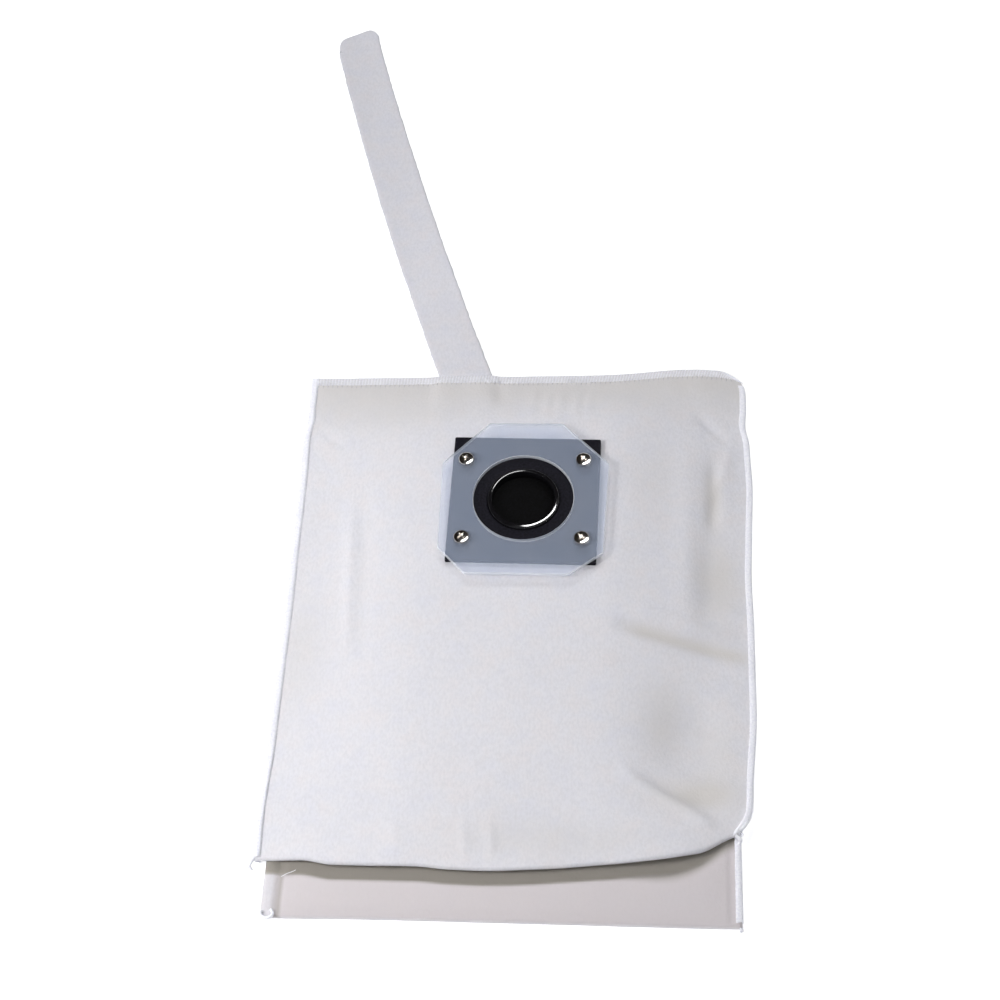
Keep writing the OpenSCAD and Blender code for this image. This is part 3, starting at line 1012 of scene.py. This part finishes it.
def stitchShape(length, radius):
    # one short stitch lying on the cloth, its ends pulled in
    line = [(-length / 2, 0, -0.0004), (-length * 0.36, 0, 0.0001), (0, 0, 0.0002),
            (length * 0.36, 0, 0.0001), (length / 2, 0, -0.0004)]
    return tube(line, radius, 5, "stitchShape", threadGrey)


def makeStitches(name, lines, material):
    shape = stitchShape(needle["length"], needle["thread"])
    base = pathObject("stitchPath", lines)
    made = grow(name, base, loopTree, {"Loop": shape, "Spacing": needle["spacing"],
                                       "Unevenness": needle["unevenness"], "Thread": material})
    bpy.data.objects.remove(shape)
    return made


needle = {"inset": 0.0072, "spacing": 0.0033, "length": 0.0024, "thread": 0.00030, "unevenness": 0.12}


def needleLine():
    # a row of points one needle inset below the top edge, on the cloth
    place = needle["inset"] / bag["frontCell"]
    row = int(place)
    share = place - row
    line = frontOuter[row] * (1 - share) + frontOuter[row + 1] * share
    inward = frontOuter[row + 2] - frontOuter[row]
    inward[:, 2] = 0
    inward /= np.linalg.norm(inward, axis=1, keepdims=True)
    keep = slice(4, -4)
    line, inward = line[keep], inward[keep]
    return line, inward, np.ones(len(line))


# the stitches are drawn in grey thread as painted shade for their dents
needleTop = makeStitches("needleTop", [needleLine()], threadGrey)


# strap

strap = {
    "width": 0.034,
    "thickness": 0.0016,
    "rootX": -0.0440,
    "lean": math.radians(17),
    "tuck": 0.018,
    "wave": 0.0016,
    "ragged": 0.00035,
    "columns": 21,
    "rows": 190,
    "short": 0.008,          # how far its end stays inside the room kept for it
    "slantCut": 0.0040,      # how far its end is cut off square
    "endRound": 0.0105,      # rounding of its two end corners
}


def makeStrap():
    length = (strapHigh.y - topY) / math.cos(strap["lean"]) - strap["short"]
    across = np.linspace(-0.5, 0.5, strap["columns"])[None, :]
    along = np.linspace(-strap["tuck"], length, strap["rows"])[:, None]
    share = np.clip(along / length, 0, 1)
    lean = strap["lean"] * (1 + 0.06 * np.sin(share * 3.0))
    width = strap["width"] * (1 - 0.035 * ease((share - 0.5) * 2) + 0.02 * hump(share - 0.05, 0.06))
    rng = random.Random(8)
    rough = np.array([[rng.uniform(-1, 1), rng.uniform(-1, 1)] for _ in range(strap["rows"])])
    rough = (rough + np.roll(rough, 1, 0)) / 2
    nearEdge = np.abs(across) * 2
    offset = width * across
    offset = offset + strap["ragged"] * np.where(across < 0, rough[:, :1], rough[:, 1:]) * nearEdge ** 6
    endCut = strap["slantCut"] * across * 2 * ease((share - 0.93) / 0.07)
    cornerTrim = strap["endRound"] * nearEdge ** 7 * ease((share - 0.95) / 0.05)
    run = along + endCut - cornerTrim
    bow = 0.0022 * np.sin(share * math.pi) + 0.0010 * np.sin(share * 7.0)
    x = strap["rootX"] - np.sin(lean) * run + np.cos(lean) * offset - bow
    y = topY + np.cos(lean) * run + np.sin(lean) * offset
    restZ = floorZ + strap["thickness"] + 0.0002
    rootZ = floorZ + bag["seamLift"] + felt + bag["plyGap"] + strap["thickness"] - 0.0002
    low = ease((y - topY - 0.003) / 0.014)
    z = rootZ + (restZ - rootZ) * low
    free = ease((share - 0.10) / 0.15)
    twist = 0.0015 * np.sin(share * 5.2 + 0.6) * across * 2
    z = z + free * (strap["wave"] * (0.55 + 0.45 * np.sin(share * 9.5 + 0.4)) + twist + 0.0016)
    z = z + free * 0.00035 * waves(x, y, 31, 0.03) - free * 0.0006 * (1 - (2 * across) ** 2)
    z = np.maximum(z, restZ)
    outer = np.stack([x, y, z], 2)[::-1]
    return clothShell("strapCloth", outer, strap["thickness"], feltStrap, rim=0.35)


strapCloth = makeStrap()
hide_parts("strap", "strap_root")
print("strap made")


# plates and rings of the inlet

def platePoints(halfW, up, down, upper, lower, turns=5, soft=0.0012, offCut=None):
    # corner points of the clipped sheet, each corner slightly rounded
    raw = [(-halfW + upper, up), (-halfW, up - upper), (-halfW, down + lower), (-halfW + lower, down),
           (halfW - lower, down), (halfW, down + lower), (halfW, up - upper), (halfW - upper, up)]
    if offCut:
        raw = [(x + dx, y + dy) for (x, y), (dx, dy) in zip(raw, offCut)]
    out = []
    for i, here in enumerate(raw):
        before, after = raw[i - 1], raw[(i + 1) % len(raw)]
        a = Vector(here) + (Vector(before) - Vector(here)).normalized() * soft
        b = Vector(here) + (Vector(after) - Vector(here)).normalized() * soft
        for k in range(turns):
            t = k / (turns - 1)
            out.append(a * (1 - t) ** 2 + Vector(here) * 2 * t * (1 - t) + b * t * t)
    return out


def ringedSheet(name, outline, holeR, lowZ, highZ, material, bevel, segments=144):
    # a flat sheet with a round hole and softened edges, swept between its outline and the hole
    angles = [math.tau * k / segments for k in range(segments)]
    corners = [math.atan2(p.y, p.x) for p in outline]
    angles = sorted({round(a % math.tau, 6) for a in [*angles, *corners]})

    def edgeAt(angle):
        ray = Vector((math.cos(angle), math.sin(angle)))
        best = None
        for i, p in enumerate(outline):
            q = outline[(i + 1) % len(outline)]
            d = q - p
            cross = ray.x * d.y - ray.y * d.x
            if abs(cross) < 1e-12:
                continue
            t = (p.x * d.y - p.y * d.x) / cross
            s = (p.x * ray.y - p.y * ray.x) / cross
            if t > 0 and -1e-6 <= s <= 1 + 1e-6 and (best is None or t > best):
                best = t
        return best

    turns = [math.pi / 2 * k / 4 for k in range(5)]
    arc = [(bevel * (1 - math.cos(t)), bevel * (1 - math.sin(t))) for t in turns]
    points, faces, rows = [], [], []
    for angle in angles:
        out = edgeAt(angle)
        ray = (math.cos(angle), math.sin(angle))
        flat = out - holeR - 2 * bevel
        # up the hole, across the top, down the rim and back underneath
        column = [(holeR + a, highZ - b) for a, b in arc]
        column += [(holeR + bevel + flat * share, highZ) for share in (0.25, 0.5, 0.75)]
        column += [(out - b, highZ - a) for a, b in arc]
        column += [(out - a, lowZ + b) for a, b in arc]
        column += [(holeR + bevel + flat * share, lowZ) for share in (0.75, 0.5, 0.25)]
        column += [(holeR + b, lowZ + a) for a, b in arc]
        first = len(points)
        points += [(ray[0] * r, ray[1] * r, z) for r, z in column]
        rows.append(range(first, first + len(column)))
    for i, row in enumerate(rows):
        after = rows[(i + 1) % len(rows)]
        for k in range(len(row)):
            m = (k + 1) % len(row)
            faces.append((row[k], after[k], after[m], row[m]))
    made = recalculated(makeObject(name, points, faces, material))
    made.data.set_sharp_from_angle(angle=math.radians(40))
    return made


plateShape = {
    "upperClip": 0.033,
    "lowerClip": 0.020,
    "above": 0.0006,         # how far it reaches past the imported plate
    "below": 0.0016,
    "holeR": 0.033,
    "bevel": 0.0007,
    # the corners are cut by hand, each a little off
    "offCut": [(-0.0028, 0.0004), (0.0, 0.0008), (0.0005, -0.0008), (-0.0012, -0.0004),
               (-0.0038, -0.0008), (-0.0018, -0.0042), (0.0012, 0.0010), (0.0024, 0.0004)],
}
sealShape = {
    "holeR": 0.0241,
    "bevel": 0.0004,
    "cornerCut": 0.0006,
    "turn": math.radians(-0.9),
    "shift": (0.0004, 0.0006),
}
plateHalf = (plateHigh.x - plateLow.x) / 2
plateOutline = platePoints(plateHalf, plateHigh.y + plateShape["above"], plateLow.y - plateShape["below"],
                           plateShape["upperClip"], plateShape["lowerClip"], offCut=plateShape["offCut"])
flangePlate = ringedSheet("flangePlate", plateOutline, plateShape["holeR"], plateLow.z + 0.00005,
                          plateHigh.z, frosted, plateShape["bevel"])
flangePlate.data.materials.append(frostedEdge)
for face in flangePlate.data.polygons:
    face.material_index = int(abs(face.normal.z) < 0.9)       # painted highlight: the cut edges get a brighter, denser finish than the faces
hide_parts("flange_plate")
sealHalf = (sealHigh.x - sealLow.x) / 2
sealTurn = Matrix.Rotation(sealShape["turn"], 2)
sealCorners = platePoints(sealHalf, sealHalf, -sealHalf, sealShape["cornerCut"], sealShape["cornerCut"],
                          turns=2, soft=0.0001)
sealOutline = [sealTurn @ p + Vector(sealShape["shift"]) for p in sealCorners]
sealSheet = ringedSheet("sealSheet", sealOutline, sealShape["holeR"], sealLow.z + 0.00005, sealHigh.z,
                        rubberSheet, sealShape["bevel"])
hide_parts("seal_sheet")


def lathe(name, profile, material, segments=96, closed=True):
    # a profile of (radius, z) points turned about the z axis; closed joins its last point to its first
    points, faces = [], []
    for k in range(segments):
        a = math.tau * k / segments
        points += [(r * math.cos(a), r * math.sin(a), z) for r, z in profile]
    count = len(profile)
    for k in range(segments):
        j = (k + 1) % segments
        for i in range(count if closed else count - 1):
            m = (i + 1) % count
            faces.append((k * count + i, j * count + i, j * count + m, k * count + m))
    return recalculated(makeObject(name, points, faces, material))


lip = {
    "wall": 0.0035,
    "foot": 0.0030,
    "footThick": 0.0012,
    "round": 0.0014,         # rounding of the inner top edge
    "slope": 0.0010,         # how far the top falls outwards
}


def makeLip():
    # a round-edged lip whose top slopes outwards, on a thin foot
    outerR = lipHigh.x - lip["foot"]
    innerR = outerR - lip["wall"]
    footLow, footTop = lipLow.z, lipLow.z + lip["footThick"] - 0.00005
    crest = lipHigh.z
    bend = lip["round"]
    profile = [(innerR, footLow + 0.0003), (innerR, crest - bend)]
    for k in range(1, 7):
        turn = math.pi / 2 * k / 6 * 0.86
        profile.append((innerR + 0.0013 * (1 - math.cos(turn)), crest - bend + bend * math.sin(turn)))
    for k in range(1, 11):
        t = k / 10
        profile.append((innerR + 0.0012 + 0.0023 * t - 0.0002 * t ** 4,
                        crest - lip["slope"] * t - 0.0006 * t ** 4))
    profile += [(outerR, crest - 0.0024), (outerR, footTop + 0.0002), (outerR + 0.0002, footTop),
                (lipHigh.x - 0.0003, footTop), (lipHigh.x, footTop - 0.0003), (lipHigh.x, footLow + 0.0003),
                (lipHigh.x - 0.0003, footLow), (innerR + 0.0003, footLow)]
    return lathe("lipRing", profile, rubberLip, 128)


lipRing = makeLip()
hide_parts("lip_ring")


flap = {"tabHalf": 0.007, "columns": 10, "discRows": 72, "tabRows": 10}


def makeFlap():
    # a round flap with its tab, one sheet in rows of faces so that the line between them can bend
    radius = flapHigh.x
    top, low = flapHigh.z, flapLow.z
    joinY = math.sqrt(radius ** 2 - flap["tabHalf"] ** 2)
    startTurn = math.atan2(joinY, flap["tabHalf"])
    ys = set()
    for k in range(flap["discRows"] + 1):
        a = startTurn - (math.tau - (math.pi - 2 * startTurn)) * k / flap["discRows"]
        ys.add(round(radius * math.sin(a), 6))
    for k in range(1, flap["tabRows"] + 1):
        ys.add(round(joinY + (tabHigh.y - joinY) * k / flap["tabRows"], 6))
    count = flap["columns"]
    work = bmesh.new()
    rows = []
    for y in sorted(ys):
        half = math.sqrt(max(radius ** 2 - y * y, 0)) if y <= joinY else flap["tabHalf"]
        lift = (tabHigh.z - top) * ease(np.array((y - joinY) / 0.003)).item()
        row = [[], []]
        for i in range(count + 1):
            x = -half + 2 * half * i / count
            row[0].append(work.verts.new((x, y, top + lift - 0.0001)))
            row[1].append(work.verts.new((x, y, low + lift + 0.0001)))
        rows.append(row)
    for a, b in zip(rows, rows[1:]):
        for i in range(count):
            work.faces.new((a[0][i], a[0][i + 1], b[0][i + 1], b[0][i]))
            work.faces.new((a[1][i], b[1][i], b[1][i + 1], a[1][i + 1]))
        for i in (0, count):
            work.faces.new((a[0][i], b[0][i], b[1][i], a[1][i]))
    for row in (rows[0], rows[-1]):
        for i in range(count):
            work.faces.new((row[0][i], row[0][i + 1], row[1][i + 1], row[1][i]))
    bmesh.ops.remove_doubles(work, verts=work.verts, dist=1e-5)
    bmesh.ops.dissolve_degenerate(work, edges=work.edges, dist=1e-6)
    bmesh.ops.recalc_face_normals(work, faces=work.faces)
    mesh = bpy.data.meshes.new("valveFlap")
    work.to_mesh(mesh)
    work.free()
    mesh.materials.append(rubberFlap)
    mesh.shade_smooth()
    mesh.set_sharp_from_angle(angle=math.radians(40))
    return link(bpy.data.objects.new("valveFlap", mesh))


valveFlap = makeFlap()
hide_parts("valve_flap", "flap_tab")


# pan head screws

panHead = {
    "rim": 0.0009,           # height of the head's straight rim
    "shankR": 0.0025,
    "threadDepth": 0.00028,
    "pitch": 0.0008,
    "recessHalf": 0.0030,
    "recessWide": 0.00078,
    "recessDeep": 0.0022,
    "softEdge": 0.00009,
}


def crossCutter(topZ):
    # the driver recess: a cross that narrows towards its floor
    half, wide = panHead["recessHalf"], panHead["recessWide"]
    quarter = [(half, -wide), (half, wide), (wide, wide)]
    cross = []
    for k in range(4):
        turn = math.pi / 2 * k
        for x, y in quarter:
            cross.append((x * math.cos(turn) - y * math.sin(turn), x * math.sin(turn) + y * math.cos(turn)))
    points = [(1.15 * x, 1.15 * y, topZ + 0.0012) for x, y in cross]
    points += [(0.42 * x, 0.42 * y, topZ - panHead["recessDeep"]) for x, y in cross]
    faces = [tuple(range(12)), tuple(range(23, 11, -1))]
    for k in range(12):
        m = (k + 1) % 12
        faces.append((k, k + 12, m + 12, m))
    return recalculated(makeObject("cutter", points, faces, screwSteel, smooth=False))


def makeScrewShape():
    low, high = screwBoxes[0]
    headR = (high.x - low.x) / 2
    headLow, headTop, tip = plateHigh.z + 0.00003, high.z, low.z
    shank = panHead["shankR"]
    profile = [(0.0, headTop)]
    dome = headTop - headLow - panHead["rim"]
    for k in range(1, 9):
        turn = math.pi / 2 * k / 8
        profile.append((headR * math.sin(turn) ** 0.9,
                        headLow + panHead["rim"] + dome * math.cos(turn) ** 0.75))
    profile += [(headR, headLow + 0.0003), (headR - 0.0003, headLow), (shank, headLow)]
    z = headLow - 0.0010
    while z > tip + 0.0010:
        profile += [(shank - 0.00002, z), (shank - panHead["threadDepth"], z - panHead["pitch"] * 0.5)]
        z -= panHead["pitch"]
    profile += [(shank - 0.0003, tip + 0.0004), (shank - 0.0008, tip), (0.0, tip)]
    body = lathe("screwShape", profile, screwSteel, 40, closed=False)
    cutter = crossCutter(headTop)
    cut = body.modifiers.new("recess", "BOOLEAN")
    cut.operation, cut.object, cut.solver = "DIFFERENCE", cutter, "EXACT"
    soft = body.modifiers.new("soft", "BEVEL")
    soft.width, soft.segments = panHead["softEdge"], 2
    soft.limit_method, soft.angle_limit = "ANGLE", math.radians(50)
    body = finishedMesh(body, "screwShape")
    bpy.data.objects.remove(cutter)
    return body


def makeScrews():
    shape = makeScrewShape()
    centre = [(Vector(b[0]) + Vector(b[1])) / 2 for b in screwBoxes]
    mesh = bpy.data.meshes.new("screwPlaces")
    mesh.from_pydata([(c.x, c.y, 0) for c in centre], [], [])
    base = link(bpy.data.objects.new("screwPlaces", mesh))
    made = grow("panScrews", base, scatterTree(), {"Fastener": shape, "Seed": 6, "Metal": screwSteel})
    made.data.set_sharp_from_angle(angle=math.radians(35))
    bpy.data.objects.remove(shape)
    return made


panScrews = makeScrews()
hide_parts(*[f"screw_{i}" for i in range(1, 5)])
print("inlet made", len(panScrews.data.polygons))


# knots and loose thread ends

def joined(name, objects):
    # merges finished parts into one piece
    work = bmesh.new()
    material = objects[0].data.materials[0]
    for obj in objects:
        work.from_mesh(obj.data)
        bpy.data.objects.remove(obj)
    mesh = bpy.data.meshes.new(name)
    work.to_mesh(mesh)
    work.free()
    mesh.materials.append(material)
    mesh.shade_smooth()
    return link(bpy.data.objects.new(name, mesh))


knots = {
    "thread": 0.00055,
    "size": 0.0019,
    "hookR": 0.0012,
    "ropeR": 0.0013,
    "tailR": 0.00020,
    # gathered thread at the lower left and lower right corners, with heights above the floor
    "hook": [(-0.1505, -0.2500, 0.0075), (-0.1530, -0.2545, 0.0070), (-0.1546, -0.2572, 0.0050),
             (-0.1532, -0.2592, 0.0034)],
    "rope": [(0.1425, -0.2200, 0.0072), (0.1395, -0.2265, 0.0078), (0.1345, -0.2312, 0.0070),
             (0.1372, -0.2345, 0.0056), (0.1362, -0.2368, 0.0036)],
    "loose": [(-0.1345, -0.2640, 0.0062), (-0.1310, -0.2620, 0.0066), (-0.1280, -0.2608, 0.0066),
              (-0.1262, -0.2594, 0.0060)],
}
ring = {"x": -0.1410, "y": -0.2868, "z": 0.0054, "halfWide": 0.0036, "halfLong": 0.0030, "thread": 0.0010}


def knotPoints(centre, size, tilt, seed):
    # a small pulled-tight knot
    rng = random.Random(seed)
    spin = Matrix.Rotation(tilt, 3, "Y") @ Matrix.Rotation(rng.uniform(0, 3), 3, "Z")
    points = []
    for k in range(54):
        t = math.tau * k / 54
        x = math.sin(t) + 2 * math.sin(2 * t)
        y = math.cos(t) - 2 * math.cos(2 * t)
        p = Vector((x, y, -1.3 * math.sin(3 * t)))
        points.append(Vector(centre) + spin @ (p * size / 3))
    return points


def ringPoint(k):
    # an open loop of thread that winds once round
    turn = k * 0.36
    x = ring["x"] + ring["halfWide"] * math.cos(turn + 2.6)
    y = ring["y"] + ring["halfLong"] * math.sin(turn + 2.6)
    return (x, y, floorZ + ring["z"] + 0.0004 * math.sin(turn))


def makeKnots():
    low = floorZ + 0.0026
    leftFront = Vector(frontOuter[frontRows - 1, 0]) + Vector((-0.0012, 0.0012, 0))
    leftFront.z = floorZ + 0.0055
    rightFront = Vector(frontOuter[frontRows - 1, -1]) + Vector((0.0012, 0.0004, 0))
    rightFront.z = floorZ + 0.0058
    leftRear = Vector((bag["stripLeft"] + 0.0015, rearY + 0.0008, low))
    rightRear = Vector((bag["stripRight"] - 0.0002, rearY - 0.0006, low))
    parts = []
    for line, radius in ((knots["hook"], knots["hookR"]), (knots["rope"], knots["ropeR"])):
        line = [(x, y, floorZ + z) for x, y, z in line]
        parts.append(tube(smoothPath(line), radius, 8, "threadEnd", threadWhite))
    parts.append(tube([ringPoint(k) for k in range(14)], ring["thread"], 8, "threadRing", threadWhite))
    corners = [(leftFront, 0.95), (rightFront, 1.05), (leftRear, 0.8), (rightRear, 0.75)]
    for i, (centre, size) in enumerate(corners):
        points = knotPoints(centre, knots["size"] * size, 0.5 * i, i)
        parts.append(tube(points, knots["thread"], 6, "knot", threadWhite, closed=True))
    leftTail = [(0, 0, 0), (-0.0030, 0.0010, -0.0010), (-0.0052, 0.0030, -0.0030), (-0.0060, 0.0062, -0.0046)]
    rightTail = [(0, 0, 0), (0.0020, 0.0022, 0.0), (0.0026, 0.0050, -0.0020)]
    tails = [
        [leftFront + Vector(step) for step in leftTail],
        [rightFront + Vector(step) for step in rightTail],
        [(x, y, floorZ + z) for x, y, z in knots["loose"]],
    ]
    for line in tails:
        parts.append(tube(smoothPath(line), knots["tailR"], 6, "tail", threadWhite))
    return joined("threadKnots", parts)


threadKnots = makeKnots()
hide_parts("thread_tails")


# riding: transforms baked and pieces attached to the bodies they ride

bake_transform(clothFront)
for piece in (clothBack, overlockLeft, overlockRight, overlockTop, needleTop, threadKnots):
    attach(piece, "bag")
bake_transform(strapCloth)
for piece in (flangePlate, sealSheet, lipRing, panScrews):
    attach(piece, "front")
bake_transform(valveFlap)


def paintNode(name, material):
    # gives a carried-over part its finish through its object's own slot
    for obj in bpy.data.objects:
        if obj.type == "MESH" and obj.name == name:
            if not obj.material_slots:
                obj.data.materials.append(material)
            obj.material_slots[0].link = "OBJECT"
            obj.material_slots[0].material = material


paintNode("clamp_plate", innerPlastic)
for i in range(1, 5):
    paintNode(f"washer_{i}", zincSteel)
    paintNode(f"nut_{i}", zincSteel)

print("pieces placed")


# floor, light and camera

studio = {
    "sky": 0.27,
    "key": 6.6,
    "fill": 1.7,
    "far": 28.0,
    "glint": 56.0,
    "glintSize": (1.5, 0.40),
    "floorSize": 14.0,
    "floorGlow": 0.52,
}


def floorMaterial():
    material, tree, shader = startMaterial("floorPaper", 0.9, Specular_IOR_Level=0.1,
                                           Emission_Color=(1, 1, 1, 1), Emission_Strength=studio["floorGlow"])
    base = ramp(tree, noiseNode(tree, 3, 2), [(0.3, (0.955, 0.955, 0.955)), (0.7, (0.965, 0.965, 0.965))])
    tree.links.new(base, shader.inputs["Base Color"])
    return material


def areaLight(name, place, target, size, power, colour):
    data = bpy.data.lights.new(name, "AREA")
    data.shape, data.size, data.energy, data.color = "DISK", size, power, colour
    lamp = link(bpy.data.objects.new(name, data))
    lamp.location = place
    lamp.rotation_mode = "QUATERNION"
    lamp.rotation_quaternion = (Vector(target) - Vector(place)).to_track_quat("-Z", "Y")
    return lamp


def makeStudio():
    half = studio["floorSize"] / 2
    z = floorZ - 0.0001
    floor = makeObject("floorSheet", [(-half, -half, z), (half, -half, z), (half, half, z), (-half, half, z)],
                       [(0, 1, 2, 3)], floorMaterial(), smooth=False)
    world = bpy.data.worlds.new("studioSky")
    world.use_nodes = True
    tree = world.node_tree
    sky = tree.nodes["Background"]
    # reflections see a room that is dark to the upper left and bright to the lower right
    direction = newNode(tree, "ShaderNodeTexCoord")
    parts = newNode(tree, "ShaderNodeSeparateXYZ")
    across = newNode(tree, "ShaderNodeMath", operation="SUBTRACT")
    rays = newNode(tree, "ShaderNodeLightPath")
    tree.links.new(direction.outputs["Generated"], parts.inputs[0])
    tree.links.new(parts.outputs["X"], across.inputs[0])
    tree.links.new(parts.outputs["Y"], across.inputs[1])
    room = ramp(tree, across.outputs[0], [(0.0, (0.06, 0.045, 0.035)), (0.45, (0.85, 0.85, 0.88))])
    colour = mixColours(tree, (0.985, 0.985, 1.0), room, rays.outputs["Is Glossy Ray"])
    tree.links.new(colour, sky.inputs["Color"])
    sky.inputs["Strength"].default_value = studio["sky"]
    scene.world = world
    white = (1, 1, 1)
    lamps = [
        ("keyLamp", (-0.70, -0.36, 0.66), (-0.04, -0.05, 0.0), 0.36, studio["key"], (1.0, 0.985, 0.97)),
        ("fillLamp", (0.35, -1.10, 0.95), (0, 0, 0), 0.4, studio["fill"], white),
        ("farLamp", (-0.25, 2.10, 1.90), (0, -0.05, 0), 0.50, studio["far"], white),
    ]
    for lamp in lamps:
        areaLight(*lamp).visible_glossy = False      # these light the cloth and add no bright spots
    long, short = studio["glintSize"]
    glint = areaLight("glintLamp", (0.52, -0.10, 1.08), (0, 0, 0), long, studio["glint"], white)
    glint.data.shape, glint.data.size_y = "RECTANGLE", short
    # the long side of this strip light follows the lower right of the round lip
    aim = glint.location.normalized()
    longSide = Vector((0.68, 0.71, -0.30))
    longSide = (longSide - aim * longSide.dot(aim)).normalized()
    glint.rotation_quaternion = Matrix((longSide, aim.cross(longSide), aim)).transposed().to_quaternion()
    glint.visible_diffuse = False      # only adds the bright reflections on the lip and the screws


view = {
    "elevation": math.radians(55.72),
    "azimuth": math.radians(7.08),
    "roll": math.radians(-5.46),
    "distance": 1.338,
    "target": (-0.0169, 0.0112),
    "lens": 72,
}


def makeCamera():
    elevation, azimuth, roll = view["elevation"], view["azimuth"], view["roll"]
    target = Vector((*view["target"], floorZ))
    back = Vector((math.sin(azimuth) * math.cos(elevation), -math.cos(azimuth) * math.cos(elevation),
                   math.sin(elevation)))
    right = (-back).cross(Vector((0, 0, 1))).normalized()
    up = right.cross(-back)
    turnedRight = right * math.cos(roll) + up * math.sin(roll)
    turnedUp = up * math.cos(roll) - right * math.sin(roll)
    data = bpy.data.cameras.new("studioCamera")
    data.lens, data.sensor_width = view["lens"], 36
    camera = link(bpy.data.objects.new("studioCamera", data))
    place = Matrix((turnedRight, turnedUp, back)).transposed().to_4x4()
    place.translation = target + back * view["distance"]
    camera.matrix_world = place
    scene.camera = camera


makeStudio()
makeCamera()
bpy.context.view_layer.update()
